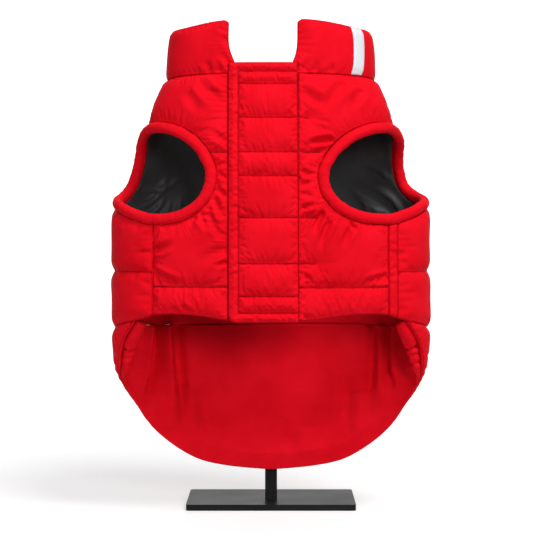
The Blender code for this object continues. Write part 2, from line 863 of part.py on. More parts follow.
def main():
    for item in list(bpy.data.objects):
        bpy.data.objects.remove(item, do_unlink=True)
    collection = bpy.data.collections.new("padded_dog_jacket")
    bpy.context.scene.collection.children.link(collection)
    cloth = make_material("red_cloth", (0.62, 0.008, 0.015), 0.55)
    lining = make_material("black_lining", (0.008, 0.008, 0.009), 0.6)
    tape = make_material("pale_tape", (0.80, 0.82, 0.85), 0.4)
    metal = make_material("black_metal", (0.012, 0.012, 0.013), 0.35, 0.6)
    make_fronts(cloth, lining)
    make_back(cloth, lining)
    make_tail(cloth)
    make_tail_rolls(cloth)
    make_collar(cloth, tape)
    make_placket(cloth)
    make_bindings(cloth)
    make_base(metal)
    make_hanger(metal)
    make_post(metal)


main()
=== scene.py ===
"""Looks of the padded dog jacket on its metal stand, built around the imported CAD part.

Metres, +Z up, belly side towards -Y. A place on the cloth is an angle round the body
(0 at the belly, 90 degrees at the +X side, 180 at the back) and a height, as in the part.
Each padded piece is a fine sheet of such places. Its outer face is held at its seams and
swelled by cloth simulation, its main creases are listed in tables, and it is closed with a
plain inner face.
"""

from math import atan, ceil, cos, exp, hypot, pi, radians, sin

import bpy
import numpy as np
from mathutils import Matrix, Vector, noise
from mathutils.bvhtree import BVHTree
from mathutils.geometry import delaunay_2d_cdt
from mathutils.kdtree import KDTree


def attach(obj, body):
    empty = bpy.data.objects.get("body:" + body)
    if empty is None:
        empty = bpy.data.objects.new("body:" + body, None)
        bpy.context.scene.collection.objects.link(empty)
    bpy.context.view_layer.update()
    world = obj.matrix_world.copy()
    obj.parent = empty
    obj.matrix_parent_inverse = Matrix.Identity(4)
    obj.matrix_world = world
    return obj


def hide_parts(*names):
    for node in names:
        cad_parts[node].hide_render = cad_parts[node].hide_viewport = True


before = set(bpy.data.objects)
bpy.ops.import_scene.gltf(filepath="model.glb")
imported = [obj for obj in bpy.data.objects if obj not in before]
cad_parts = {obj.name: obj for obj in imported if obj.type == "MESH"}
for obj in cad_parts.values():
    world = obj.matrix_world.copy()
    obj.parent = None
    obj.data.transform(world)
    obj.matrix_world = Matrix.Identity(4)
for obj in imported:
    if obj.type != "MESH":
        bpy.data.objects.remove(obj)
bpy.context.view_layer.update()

# ---- driving dimensions, in metres -------------------------------------------------

SEAM_GAP = 0.0003
LINING_GAP = 0.0008
LINING_THICKNESS = 0.0010

PLACKET_LEFT = -0.0325
PLACKET_RIGHT_TOP = 0.0203
PLACKET_RIGHT_BOTTOM = 0.0216
PLACKET_TOP = 0.3610
PLACKET_BOTTOM = 0.1592
PLACKET_CORNER = 0.0060
PLACKET_BORDER = 0.0078
PLACKET_FLAT = 0.0020
PLACKET_LIFT = 0.0029
PLACKET_RISE = 0.0028
PLACKET_MARGIN = 0.0003
CLOSURE_X = -0.0062

# The fronts' flat strips under the placket, by side: how far outwards of the placket's edge
# their line and the strip itself reach, and the strip's thickness.
COVERED = {-1: (PLACKET_MARGIN, PLACKET_MARGIN * 0.6, PLACKET_FLAT),
           1: (-0.0005, -0.0009, 0.0026)}

SIDE_SEAM = 44.6
SHOULDER_SEAM = 92.0
BINDING_RADIUS = 0.0042
BINDING_OFFSET = 0.0022
BINDING_SEAM = 0.0007
BINDING_SLIM = 0.97
BINDING_STEP = 0.0011
BINDING_UNEVEN = 0.00035
BINDING_PINCH = 0.0005
ARMHOLE_MIDDLE = 0.28

STRIPE_LEFT = 0.0611
STRIPE_RIGHT = 0.0689
STRIPE_BOW = 0.0010
STRIPE_LEAN = 0.0005
STRIPE_FOOT_GAP = 0.0006
STRIPE_TOP_GAP = 0.0004

# Distances from the collar: the stripe's inner face, its rim and its outer face.
STRIPE_LIFTS = (0.00015, 0.0003, 0.0007)

ROLL_RADIUS = 0.0040
ROLL_OVERHANG = 0.0011

# How full the body's section is: 0 is an ellipse, and more squares its corners.
FULLNESS = 0.03

# How each panel is padded: spacing of its sheet's points, thickness on a stitched line,
# full thickness, and the distance from a line at which it is full.
PADDING = {
    "placket": (0.0015, 0.0009, 0.0040, 0.0105),
    "front": (0.0015, 0.0014, 0.0047, 0.0135),
    "back": (0.0026, 0.0026, 0.0044, 0.0080),
    "tail": (0.0021, 0.0022, 0.0042, 0.0090),
    "collar": (0.0018, 0.0022, 0.0040, 0.0120),
}
STITCH_LIFT = 0.0026

# The plain inner face: height, half width, half depth, middle y.
BODY_SECTIONS = (
    (0.030, 0.1170, 0.0510, -0.0760),
    (0.090, 0.1185, 0.0510, -0.0762),
    (0.120, 0.1205, 0.0512, -0.0763),
    (0.153, 0.1222, 0.0514, -0.0765),
    (0.211, 0.1217, 0.0518, -0.0768),
    (0.252, 0.1205, 0.0512, -0.0768),
    (0.273, 0.1140, 0.0502, -0.0767),
    (0.298, 0.1030, 0.0480, -0.0766),
    (0.316, 0.0932, 0.0453, -0.0764),
    (0.332, 0.0875, 0.0425, -0.0761),
    (0.349, 0.0803, 0.0398, -0.0757),
    (0.370, 0.0783, 0.0385, -0.0750),
    (0.395, 0.0758, 0.0375, -0.0745),
)

# The belly hem, which goes on round the back as the tail's seam: degrees, height.
HEM_LINE = (
    (0.0, 0.1600), (14.0, 0.1610), (22.0, 0.1635), (31.0, 0.1653), (43.1, 0.1648),
    (51.0, 0.1614), (61.0, 0.1586), (75.0, 0.1556), (90.0, 0.1530), (110.0, 0.1530),
    (180.0, 0.1530),
)

# The seam between body and collar: degrees, height.
NECK_LINE = (
    (0.0, 0.3520), (20.0, 0.3525), (50.0, 0.3515), (90.0, 0.3490), (115.0, 0.3435),
    (145.0, 0.3300), (165.0, 0.3238), (180.0, 0.3225),
)

# The collar's upper edge: degrees, height.
COLLAR_TOP = (
    (0.0, 0.3955), (22.0, 0.3950), (55.0, 0.3898), (90.0, 0.3872), (115.0, 0.3800),
    (145.0, 0.3630), (165.0, 0.3562), (180.0, 0.3548),
)

# The collar's two front ends: share of its height, x of the +X end, x of the -X end.
COLLAR_ENDS = (
    (0.00, 0.0155, -0.0262),
    (0.22, 0.0170, -0.0280),
    (0.36, 0.0192, -0.0305),
    (0.55, 0.0204, -0.0325),
    (0.94, 0.0206, -0.0325),
)
COLLAR_CORNER = 2.5

# An armhole, forwards from the shoulder seam, down to the side seam and up behind:
# degrees, height.
ARMHOLE = (
    (92.0, 0.3078), (77.0, 0.3135), (60.0, 0.3146), (45.8, 0.3122), (34.4, 0.3060),
    (26.0, 0.2957), (20.7, 0.2818), (19.3, 0.2700), (20.2, 0.2580), (24.0, 0.2465),
    (32.0, 0.2375), (44.6, 0.2350), (56.0, 0.2385), (73.0, 0.2445), (92.0, 0.2490),
    (107.5, 0.2535), (116.0, 0.2605), (118.5, 0.2710), (115.5, 0.2860), (106.5, 0.2985),
)
ARMHOLE_SIDE_SEAM_ROW = 11

# How far each armhole reaches towards the belly, in degrees, by side.
ARMHOLE_FRONT = {-1: 19.3, 1: 16.6}

# How far each armhole reaches towards the middle of the back, in degrees, by side.
ARMHOLE_BACK = {-1: 114.5, 1: 121.0}

# The tail's free edge from its corner at the side to the middle of the back:
# degrees, height.
TAIL_EDGE = (
    (56.5, 0.1590), (63.0, 0.1503), (71.0, 0.1405), (77.0, 0.1305), (82.0, 0.1215),
    (90.0, 0.1146), (101.0, 0.1056), (115.5, 0.0895), (123.2, 0.0770), (130.8, 0.0655),
    (142.2, 0.0512), (152.5, 0.0407), (162.5, 0.0355), (172.3, 0.0328), (180.0, 0.0315),
)

# Stitched lines across the placket, by height, below its top border and above its
# bottom one.
PLACKET_LINES = (0.3536, 0.3436, 0.3172, 0.2908, 0.2725, 0.2403, 0.2048, 0.1796, 0.1667)

# Stitched lines on the fronts: side, height, x where it starts, x where it ends.
FRONT_LINES = (
    (-1, 0.1868, -0.0335, -0.0925),
    (-1, 0.2908, -0.0335, -0.0460),
    (1, 0.1864, 0.0225, 0.0920),
    (1, 0.2048, 0.0225, 0.0345),
    (1, 0.2403, 0.0225, 0.0360),
    (1, 0.2908, 0.0225, 0.0375),
    (1, 0.3172, 0.0225, 0.0290),
)

# Stitched lines round the sides and back, by height, and where the upper ones start, in
# degrees; those round the tail: height, degrees where it starts.
BACK_LINES = (0.1982, 0.2434, 0.2886)
BACK_LINES_START = 100.0
TAIL_LINES = ((0.1080, 101.0), (0.0680, 131.5))

# The second row of stitches beside the +X side seam: degrees, heights.
SIDE_STITCH = 49.6
SIDE_STITCH_HEIGHTS = (0.1650, 0.2000, 0.2340)

# ---- the surface, for many places at once ------------------------------------------

def smooth(rows, keys):
    """The values of a table at keys, on a smooth curve through its rows."""
    rows = np.asarray(rows, float)
    keys = np.clip(np.asarray(keys, float), rows[0, 0], rows[-1, 0])
    index = np.clip(np.searchsorted(rows[:, 0], keys, side="right") - 1, 0, len(rows) - 2)
    before, after = np.maximum(index - 1, 0), np.minimum(index + 2, len(rows) - 1)
    start, end = rows[index], rows[index + 1]
    span = (end[:, 0] - start[:, 0])[:, None]
    t = ((keys - start[:, 0]) / span[:, 0])[:, None]
    slope_in = (end - rows[before]) / (end[:, :1] - rows[before][:, :1]) * span
    slope_out = (rows[after] - start) / (rows[after][:, :1] - start[:, :1]) * span
    rise = end - start
    value = (start + t * slope_in + t * t * (3 * rise - 2 * slope_in - slope_out)
             + t ** 3 * (slope_in + slope_out - 2 * rise))
    return value[:, 1:]


def metres(rows):
    """Rows that are written in tenths of a millimetre."""
    return np.array(rows) / 10000


def unit(vectors):
    return vectors / np.linalg.norm(vectors, axis=1, keepdims=True)


def lengths_along(points):
    """Length of a polyline up to each of its points."""
    steps = np.linalg.norm(np.diff(points, axis=0), axis=1)
    return np.concatenate([[0.0], np.cumsum(steps)])


def line_height(rows, angles):
    """Heights of a line that runs round the body, the same on both sides."""
    turn = np.degrees(np.atleast_1d(angles)) % 360
    return smooth(rows, np.minimum(turn, 360 - turn))[:, 0]


def surface(places):
    """Points on the jacket's plain inner face."""
    places = np.asarray(places, float).reshape(-1, 2)
    angle, height = places[:, 0], places[:, 1]
    section = smooth(BODY_SECTIONS, height)
    x = section[:, 0] * (np.sin(angle) + FULLNESS * np.sin(3 * angle)) / (1 - FULLNESS)
    y = section[:, 1] * (np.cos(angle) - FULLNESS * np.cos(3 * angle)) / (1 - FULLNESS)
    return np.stack([x, section[:, 2] - y, height], 1)


def normals(places):
    """Directions straight out of the inner face."""
    places = np.asarray(places, float).reshape(-1, 2)
    turn, rise = np.array([[0.001, 0.0]]), np.array([[0.0, 0.001]])
    around = surface(places + turn) - surface(places - turn)
    up = surface(places + rise) - surface(places - rise)
    return unit(np.cross(around, up))


def outside(places, offset):
    """Points at a distance outside the inner face."""
    offset = np.broadcast_to(np.asarray(offset, float), (len(places),))
    return surface(places) + normals(places) * offset[:, None]


def scale_at(places):
    """Metres per radian round the body."""
    places = np.asarray(places, float).reshape(-1, 2)
    turn = np.array([[0.01, 0.0]])
    step = surface(places + turn) - surface(places - turn)
    return np.linalg.norm(step, axis=1) / 0.02


def angles_at(x, height):
    """Angles of the places on the belly side with these x and heights."""
    x, height = np.broadcast_arrays(np.asarray(x, float), np.asarray(height, float))
    low, high = np.full(x.shape, -pi / 2), np.full(x.shape, pi / 2)
    for _ in range(24):
        middle = (low + high) / 2
        below = surface(np.stack([middle, height], 1))[:, 0] < x
        low, high = np.where(below, middle, low), np.where(below, high, middle)
    return (low + high) / 2


# Flat coordinates: metres round the body at one height, and the height.
FLAT_HEIGHT = 0.215
TURNS = np.linspace(-pi, 3 * pi, 2881)
AROUND = lengths_along(surface(np.stack([TURNS, np.full(len(TURNS), FLAT_HEIGHT)], 1)))
AROUND -= np.interp(0.0, TURNS, AROUND)


def flattened(places):
    places = np.asarray(places, float).reshape(-1, 2)
    return np.stack([np.interp(places[:, 0], TURNS, AROUND), places[:, 1]], 1)


def unflattened(points):
    points = np.asarray(points, float).reshape(-1, 2)
    return np.stack([np.interp(points[:, 0], AROUND, TURNS), points[:, 1]], 1)


# ---- seam lines --------------------------------------------------------------------

def line_round(rows, start, end, step=radians(1.5)):
    count = max(2, ceil(abs(end - start) / step))
    angles = np.linspace(start, end, count + 1)
    return [(a, h) for a, h in zip(angles, line_height(rows, angles))]


def line_straight(start, end):
    """Places on a straight line across the belly side; its ends are x and height."""
    count = ceil(hypot(end[0] - start[0], end[1] - start[1]) / 0.006)
    heights = np.linspace(start[1], end[1], count + 1)
    return list(zip(angles_at(np.linspace(start[0], end[0], count + 1), heights), heights))


def line_level(height, start, end):
    count = ceil(abs(end - start) / radians(3))
    return [(start + (end - start) * i / count, height) for i in range(count + 1)]


def armhole_places(side):
    front = ARMHOLE_FRONT[side]
    stretch = (SIDE_SEAM - front) / (SIDE_SEAM - ARMHOLE[7][0])
    furthest = max(angle for angle, height in ARMHOLE)
    behind = (ARMHOLE_BACK[side] - SHOULDER_SEAM) / (furthest - SHOULDER_SEAM)
    places = []
    for angle, height in ARMHOLE:
        if angle < SIDE_SEAM:
            angle = SIDE_SEAM - (SIDE_SEAM - angle) * stretch
        if angle > SHOULDER_SEAM:
            angle = SHOULDER_SEAM + (angle - SHOULDER_SEAM) * behind
        places.append((radians(angle), height))
    return places


def round_loop(places, per_span):
    """Closed smooth curve through places."""
    count = len(places)
    result = []
    for index in range(count):
        around = [places[(index + shift) % count] for shift in (-1, 0, 1, 2)]
        for step in range(per_span):
            t = step / per_span
            weights = (-t / 2 + t * t - t ** 3 / 2, 1 - 2.5 * t * t + 1.5 * t ** 3,
                       t / 2 + 2 * t * t - 1.5 * t ** 3, -t * t / 2 + t ** 3 / 2)
            result.append(tuple(sum(w * p[i] for w, p in zip(weights, around))
                                for i in range(2)))
    return result


def armhole_arcs(side):
    """The armhole in front of the shoulder and side seams, and behind them."""
    loop = round_loop(armhole_places(side), 8)
    split = ARMHOLE_SIDE_SEAM_ROW * 8
    return loop[:split + 1], [loop[0]] + loop[:split - 1:-1]


def placket_edge(side):
    return PLACKET_LEFT if side < 0 else PLACKET_RIGHT_BOTTOM


def covered_line(side):
    x = placket_edge(side) + side * COVERED[side][0]
    return line_straight((x, HEM_LINE[0][1]), (x, NECK_LINE[0][1]))


def front_outline(side):
    seam = side * radians(SIDE_SEAM)
    arc = [(side * angle, height) for angle, height in armhole_arcs(side)[0]]
    closure = line_straight((CLOSURE_X, HEM_LINE[0][1]), (CLOSURE_X, NECK_LINE[0][1]))
    hem = line_round(HEM_LINE, seam, closure[0][0])
    neck = line_round(NECK_LINE, closure[-1][0], side * radians(SHOULDER_SEAM))
    around = hem[:-1] + closure[:-1] + neck + arc
    return around if side < 0 else around[::-1]


def back_outline():
    turn = 2 * pi
    right = armhole_arcs(1)[1]
    left = [(turn - angle, height) for angle, height in armhole_arcs(-1)[1]]
    hem = line_round(HEM_LINE, right[-1][0], left[-1][0])
    neck = line_round(NECK_LINE, left[0][0], right[0][0])
    return hem + left[::-1] + neck + right


def tail_edge_line():
    rows = [(radians(angle), height) for angle, height in TAIL_EDGE]
    keys = np.linspace(0, len(rows) - 1, (len(rows) - 1) * 6 + 1)
    table = [(key, *row) for key, row in enumerate(rows)]
    half = [tuple(row) for row in smooth(table, keys)]
    return half + [(2 * pi - angle, height) for angle, height in half[-2::-1]]


def tail_outline():
    edge = tail_edge_line()
    top = line_round(HEM_LINE, edge[-1][0], edge[0][0])
    return edge[1:-1] + top


def collar_outline():
    turn = 2 * pi
    foot, top = NECK_LINE[0][1], COLLAR_TOP[0][1]
    shares = np.linspace(0, COLLAR_ENDS[-1][0], 16)
    ends = smooth(COLLAR_ENDS, shares)
    heights = foot + (top - foot) * shares
    right = list(zip(angles_at(ends[:, 0], heights), heights))
    left = list(zip(angles_at(ends[:, 1], heights) + turn, heights))
    rounding = radians(COLLAR_CORNER)
    upper = line_round(COLLAR_TOP, left[-1][0] - rounding, right[-1][0] + rounding)
    lower = line_round(NECK_LINE, right[0][0], left[0][0])
    return lower + left[1:] + upper + right[:0:-1]


def placket_outline():
    right = line_straight((PLACKET_RIGHT_BOTTOM, PLACKET_BOTTOM),
                          (PLACKET_RIGHT_TOP, PLACKET_TOP))
    middle = (PLACKET_LEFT + PLACKET_CORNER, PLACKET_BOTTOM + PLACKET_CORNER)
    turn = np.linspace(pi, 1.5 * pi, 9)
    heights = middle[1] + PLACKET_CORNER * np.sin(turn)
    corner = list(zip(angles_at(middle[0] + PLACKET_CORNER * np.cos(turn), heights), heights))
    left = line_straight((PLACKET_LEFT, middle[1]), (PLACKET_LEFT, PLACKET_TOP))
    bottom = line_straight((middle[0], PLACKET_BOTTOM), (PLACKET_RIGHT_BOTTOM, PLACKET_BOTTOM))
    top = line_straight((PLACKET_RIGHT_TOP, PLACKET_TOP), (PLACKET_LEFT, PLACKET_TOP))
    return corner + bottom[1:-1] + right[:-1] + top[:-1] + left[:0:-1]


# ---- cutting fine sheets -----------------------------------------------------------

def spaced(places, step, closed=False):
    """A polyline of places, walked in even steps."""
    places = np.asarray(places, float)
    if closed:
        places = np.concatenate([places, places[:1]])
    reach = lengths_along(surface(places))
    count = max(2, int(round(reach[-1] / step)))
    marks = np.linspace(0, reach[-1], count + 1)
    result = np.stack([np.interp(marks, reach, places[:, i]) for i in range(2)], 1)
    return result[:-1] if closed else result


def inset(outline, distance):
    """An outline that runs anticlockwise, moved inwards by a distance."""
    scale = scale_at(outline)
    step = np.roll(outline, -1, 0) - np.roll(outline, 1, 0)
    step[:, 0] *= scale
    step /= np.maximum(np.linalg.norm(step, axis=1, keepdims=True), 1e-9)
    inward = np.stack([-step[:, 1] / scale, step[:, 0]], 1)
    return outline + inward * distance


def inside(points, outline):
    """Which flat points lie inside a flat outline."""
    found = np.zeros(len(points), bool)
    ends = np.roll(outline, -1, 0)
    for (ax, ay), (bx, by) in zip(outline, ends):
        if ay == by:
            continue
        crosses = (ay > points[:, 1]) != (by > points[:, 1])
        found ^= crosses & (points[:, 0] < ax + (points[:, 1] - ay) * (bx - ax) / (by - ay))
    return found


def tree_of(points):
    tree = KDTree(len(points))
    for index, point in enumerate(points):
        tree.insert(point, index)
    tree.balance()
    return tree


def distances(points, marks):
    tree = tree_of(marks)
    return np.array([tree.find(point)[2] for point in points])


# Shares of a sheet's spacing: how near a row comes to the edge and a free point to a row,
# and how far free points are shaken off their grid. Seams are marked by steps in metres.
ROW_CLEARANCE = 0.55
GRID_CLEARANCE = 0.62
GRID_SHAKE = 0.12
MARK_STEP = 0.0005


class Sheet:
    """Places inside an outline, with rows of them along the seam lines. held are the points
    on seams, and seam is every point's distance from the nearest one."""

    def __init__(self, outline, lines, spacing, seed, gap=-0.0001):
        edge = inset(spaced(outline, spacing, closed=True), gap)
        flat_edge = flattened(edge)
        points = list(flat_edge)
        constraints, held = [], list(range(len(edge)))
        for line in lines:
            row = spaced(line, spacing)
            row = row[distances(surface(row), surface(edge)) > spacing * ROW_CLEARANCE]
            row = row[inside(flattened(row), flat_edge)]
            first = len(points)
            points += list(flattened(row))
            held += list(range(first, len(points)))
            constraints += [(i, i + 1) for i in range(first, len(points) - 1)]
        taken = np.array(points)
        low, high = flat_edge.min(0), flat_edge.max(0)
        rows = np.arange(low[1], high[1], spacing * 0.866)
        columns = np.arange(low[0], high[0], spacing)
        grid = np.array([(u + (spacing / 2 if i % 2 else 0), v)
                         for i, v in enumerate(rows) for u in columns])
        shake = np.random.default_rng(seed)
        grid += shake.uniform(-GRID_SHAKE, GRID_SHAKE, grid.shape) * spacing
        grid = grid[inside(grid, flat_edge)]
        tree = tree_of(np.column_stack([taken, np.zeros(len(taken))]))
        grid = np.array([p for p in grid
                         if tree.find((p[0], p[1], 0))[2] > spacing * GRID_CLEARANCE])
        flat = [Vector(p) for p in np.concatenate([taken, grid])]
        cut = delaunay_2d_cdt(flat, constraints, [list(range(len(edge)))], 1, 1e-8)
        self.places = unflattened([tuple(p) for p in cut[0]])
        self.faces = [tuple(face) for face in cut[2]]
        held = set(held)
        self.held = [i for i, origins in enumerate(cut[3]) if held & set(origins)]
        used = {index for face in self.faces for index in face}
        if len(used) < len(self.places):
            keep = sorted(used)
            number = {old: new for new, old in enumerate(keep)}
            self.places = self.places[keep]
            self.faces = [tuple(number[i] for i in face) for face in self.faces]
            self.held = [number[i] for i in self.held if i in number]
        self.points = surface(self.places)
        seams = [spaced(line, MARK_STEP) for line in lines]
        seams.append(spaced(outline, MARK_STEP, closed=True))
        self.seam = distances(self.points, np.concatenate([surface(seam) for seam in seams]))

    def puff(self, seam, crown, reach):
        """Thickness: seam on the lines, rounding up to crown at reach from them."""
        share = np.minimum(self.seam / reach, 1.0)
        return seam + (crown - seam) * np.sqrt(1 - (1 - share) ** 2)


def padded_sheet(kind, outline, lines, seed):
    """A panel's sheet and its thickness by point."""
    spacing, seam, crown, reach = PADDING[kind]
    sheet = Sheet(outline, lines, spacing, seed)
    return sheet, sheet.puff(seam, crown, reach)


# ---- padding -----------------------------------------------------------------------

SWELL_SCALE = 20.0
SWELL_FRAMES = 18

# How much of the broad swelling and of the fine folds is kept, and the fine folds' limit.
BULGE = 0.3
WRINKLE = 1.4
WRINKLE_LIMIT = 0.0016


def add_object(name, data):
    item = bpy.data.objects.new(name, data)
    bpy.context.scene.collection.objects.link(item)
    return item


def sides_of(faces):
    """The sides of triangles, as pairs of points: all first sides, then the others."""
    return np.concatenate([faces[:, [0, 1]], faces[:, [1, 2]], faces[:, [2, 0]]])


def evened(values, faces, rounds):
    """Values by point after being averaged with their neighbours a few times."""
    ends = sides_of(np.asarray(faces))
    first, second = np.concatenate([ends, ends[:, ::-1]]).T
    count = np.maximum(np.bincount(first, minlength=len(values)), 1)[:, None]
    for _ in range(rounds):
        near = np.stack([np.bincount(first, values[second, axis], len(values))
                         for axis in range(values.shape[1])], 1) / count
        values = values * 0.4 + near * 0.6
    return values


def swollen(points, faces, held, pressure, slack):
    """An outer face after cloth simulation: held at its seams, pushed out by its padding."""
    data = bpy.data.meshes.new("swelling")
    data.from_pydata((points * SWELL_SCALE).tolist(), [], faces)
    item = add_object("swelling", data)
    group = item.vertex_groups.new(name="held")
    group.add([int(i) for i in held], 1.0, "REPLACE")
    cloth = item.modifiers.new("Cloth", "CLOTH")
    settings = cloth.settings
    settings.quality = 4
    settings.mass = 0.3
    settings.tension_stiffness = settings.compression_stiffness = 15
    settings.shear_stiffness = 5
    settings.bending_stiffness = 0.3
    settings.vertex_group_mass = "held"
    settings.use_pressure = True
    settings.uniform_pressure_force = pressure
    settings.shrink_min = -slack
    settings.effector_weights.gravity = 0
    cloth.collision_settings.use_collision = False
    cloth.point_cache.frame_start = 1
    cloth.point_cache.frame_end = SWELL_FRAMES
    for number in range(1, SWELL_FRAMES + 1):
        bpy.context.scene.frame_set(number)
    graph = bpy.context.evaluated_depsgraph_get()
    moved = item.evaluated_get(graph).data
    result = np.zeros(len(points) * 3)
    moved.vertices.foreach_get("co", result)
    bpy.data.objects.remove(item)
    bpy.data.meshes.remove(data)
    bpy.context.scene.frame_set(1)
    shift = result.reshape(-1, 3) / SWELL_SCALE - points
    broad = evened(shift, faces, 14)
    fine = shift - broad
    size = np.linalg.norm(fine, axis=1, keepdims=True)
    fine *= WRINKLE_LIMIT / (WRINKLE_LIMIT + size)
    broad[list(held)] = 0
    fine[list(held)] = 0
    return points + broad * BULGE + fine * WRINKLE


# How much deeper creases are pressed than their tables say.
CREASE = 2.4


def beside_crease(points, x0, z0, x1, z1, bend):
    """How far along a crease points lie, as a share, and how far aside of its bowed line."""
    start, run = np.array([x0, z0]), np.array([x1 - x0, z1 - z0])
    length = np.linalg.norm(run)
    offset = points[:, [0, 2]] - start
    along = offset @ run / length ** 2
    aside = (offset[:, 0] * run[1] - offset[:, 1] * run[0]) / length
    return along, aside - bend * length * np.sin(pi * np.clip(along, 0, 1))


def creased(points, places, creases):
    """Points pressed in along listed creases on the belly side: x and z at the start,
    x and z at the end, width, depth. A crease is full from near its start to two fifths of
    its length and dies out towards its end, and a low ridge runs on either side of it."""
    outwards = normals(places)
    for *ends, width, depth in creases:
        along, aside = beside_crease(points, *ends, 0.05)
        aside = aside / (width * 1.25)
        taper = np.clip(along / 0.12 + 0.5, 0, 1) * np.clip((1 - along) / 0.6, 0, 1)
        taper = taper * taper * (3 - 2 * taper)
        trough = -np.exp(-aside ** 2) + 0.45 * np.exp(-(np.abs(aside) - 1.9) ** 2 * 1.6)
        facing = outwards[:, 1] < 0.2
        points = points + outwards * (CREASE * depth * trough * taper * facing)[:, None]
    return points


def soft_noise(places, size, stretch, seed):
    """Soft noise by place, with spots of a size that are stretched in height."""
    return np.array([noise.noise(Vector((u / size, v / size / stretch, seed)))
                     for u, v in flattened(places)])


def rippled(points, places, size, depth, stretch):
    """Points moved along the normal by soft noise."""
    return points + normals(places) * (soft_noise(places, size, stretch, 7.3) * depth)[:, None]


# ---- meshes ------------------------------------------------------------------------

def add_piece(name, data, material, replaces=()):
    item = add_object(name, data)
    data.materials.append(material)
    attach(item, "root")
    if replaces:
        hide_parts(*replaces)
    return item


def subdivided(points, faces, values):
    """One step of Loop subdivision of a closed mesh of triangles; values go along."""
    ends = sides_of(faces)
    across = np.concatenate([faces[:, 2], faces[:, 0], faces[:, 1]])
    ends.sort(axis=1)
    keys, index = np.unique(ends[:, 0] * len(points) + ends[:, 1], return_inverse=True)
    first, second = keys // len(points), keys % len(points)
    wings, near = np.zeros((len(keys), 3)), np.zeros((len(points), 3))
    for axis in range(3):
        wings[:, axis] = np.bincount(index, points[across, axis], len(keys))
        near[:, axis] = (np.bincount(first, points[second, axis], len(points))
                         + np.bincount(second, points[first, axis], len(points)))
    middles = 0.375 * (points[first] + points[second]) + 0.125 * wings
    count = np.bincount(np.concatenate([first, second]), minlength=len(points))
    share = np.where(count == 3, 3 / 16, 3 / (8 * np.maximum(count, 1)))[:, None]
    moved = points * (1 - count[:, None] * share) + near * share
    ab, bc, ca = index.reshape(3, -1) + len(points)
    a, b, c = faces.T
    finer = np.concatenate([np.stack(corner, 1) for corner in
                            ((a, ab, ca), (b, bc, ab), (c, ca, bc), (ab, bc, ca))])
    return (np.concatenate([moved, middles]), finer,
            np.concatenate([values, (values[first] + values[second]) / 2]))


def mesh_of(name, points, faces, values):
    """Mesh with its cloth coordinates and its distance from the seams: values by point."""
    data = bpy.data.meshes.new(name)
    data.from_pydata(points.tolist(), [], faces)
    layer = data.uv_layers.new(name="cloth")
    corners = np.zeros(len(data.loops), np.int32)
    data.loops.foreach_get("vertex_index", corners)
    layer.data.foreach_set("uv", values[corners, :2].astype(np.float32).ravel())
    near = data.attributes.new("seam", "FLOAT", "POINT")
    near.data.foreach_set("value", values[:, 2].astype(np.float32))
    data.shade_smooth()
    return data


def closed_mesh(name, sheet, outer, inner, finer=True):
    """Closed wall between an outer and an inner face on one sheet."""
    count = len(outer)
    faces = np.array(sheet.faces)
    present = set(map(tuple, sides_of(faces).tolist()))
    rim = np.array([edge for edge in present if (edge[1], edge[0]) not in present])
    a, b = rim[:, 0], rim[:, 1]
    walls = np.concatenate([np.stack([b, a, a + count], 1),
                            np.stack([b, a + count, b + count], 1)])
    faces = np.concatenate([faces, faces[:, ::-1] + count, walls])
    flat = flattened(sheet.places)
    values = np.concatenate([np.column_stack([flat, sheet.seam]),
                             np.column_stack([flat, np.full(count, 1.0)])])
    points = np.concatenate([outer, inner])
    if finer:
        points, faces, values = subdivided(points, faces, values)
    return mesh_of(name, points, faces.tolist(), values)


# How far from a seam the creases and ripples of a panel are in full, and those of a lining.
FREE_REACH = 0.0022
LINING_FREE_REACH = 0.007


def make_panel(name, sheet, base, thickness, ripple, inner=None, slack=0.08, pressure=8.0,
               flatter=(), creases=()):
    """One padded piece of the jacket. flatter are extra points that the padding leaves be,
    and ripple is the size, depth and stretch of its soft unevenness."""
    outer = outside(sheet.places, base + thickness)
    held = sorted(set(sheet.held) | set(flatter))
    outer = swollen(outer, sheet.faces, held, pressure, slack)
    free = np.clip(sheet.seam / FREE_REACH, 0, 1)
    free[list(flatter)] = 0
    shaped = rippled(creased(outer, sheet.places, creases), sheet.places, *ripple)
    outer = outer + (shaped - outer) * free[:, None]
    if inner is None:
        inner = outside(sheet.places, base)
    item = add_piece(name, closed_mesh(name, sheet, outer, inner), RED, (name,))
    return item


def make_swept(name, centres, ways, radii, closed):
    """A padded round tube through centres. ways are two directions across each centre, and
    radii an array of centres by steps round the section."""
    count, steps = radii.shape
    turn = np.arange(steps) * 2 * pi / steps
    ring = (ways[0][:, None, :] * np.cos(turn)[None, :, None]
            + ways[1][:, None, :] * np.sin(turn)[None, :, None])
    points = centres[:, None, :] + ring * radii[:, :, None]
    faces = []
    for i in range(count if closed else count - 1):
        j = (i + 1) % count
        for k in range(steps):
            m = (k + 1) % steps
            faces.append((i * steps + k, j * steps + k, j * steps + m, i * steps + m))
    if not closed:
        faces.append(tuple(range(steps)))
        faces.append(tuple((count - 1) * steps + k for k in reversed(range(steps))))
    values = np.column_stack([np.repeat(lengths_along(centres), steps),
                              np.tile(turn * BINDING_RADIUS, count),
                              np.full(count * steps, 1.0)])
    data = mesh_of(name, points.reshape(-1, 3), faces, values)
    item = add_piece(name, data, RED, (name,))


STITCH = 0.0016
STITCH_EVERY = 0.0024
STITCH_RADIUS = 0.00021

# The rings of one thread: place along it, share of its radius, lift in radii.
STITCH_RINGS = ((-0.5, 0.35, -0.5), (-0.3, 0.95, 0.0), (0.3, 0.95, 0.0), (0.5, 0.35, -0.5))


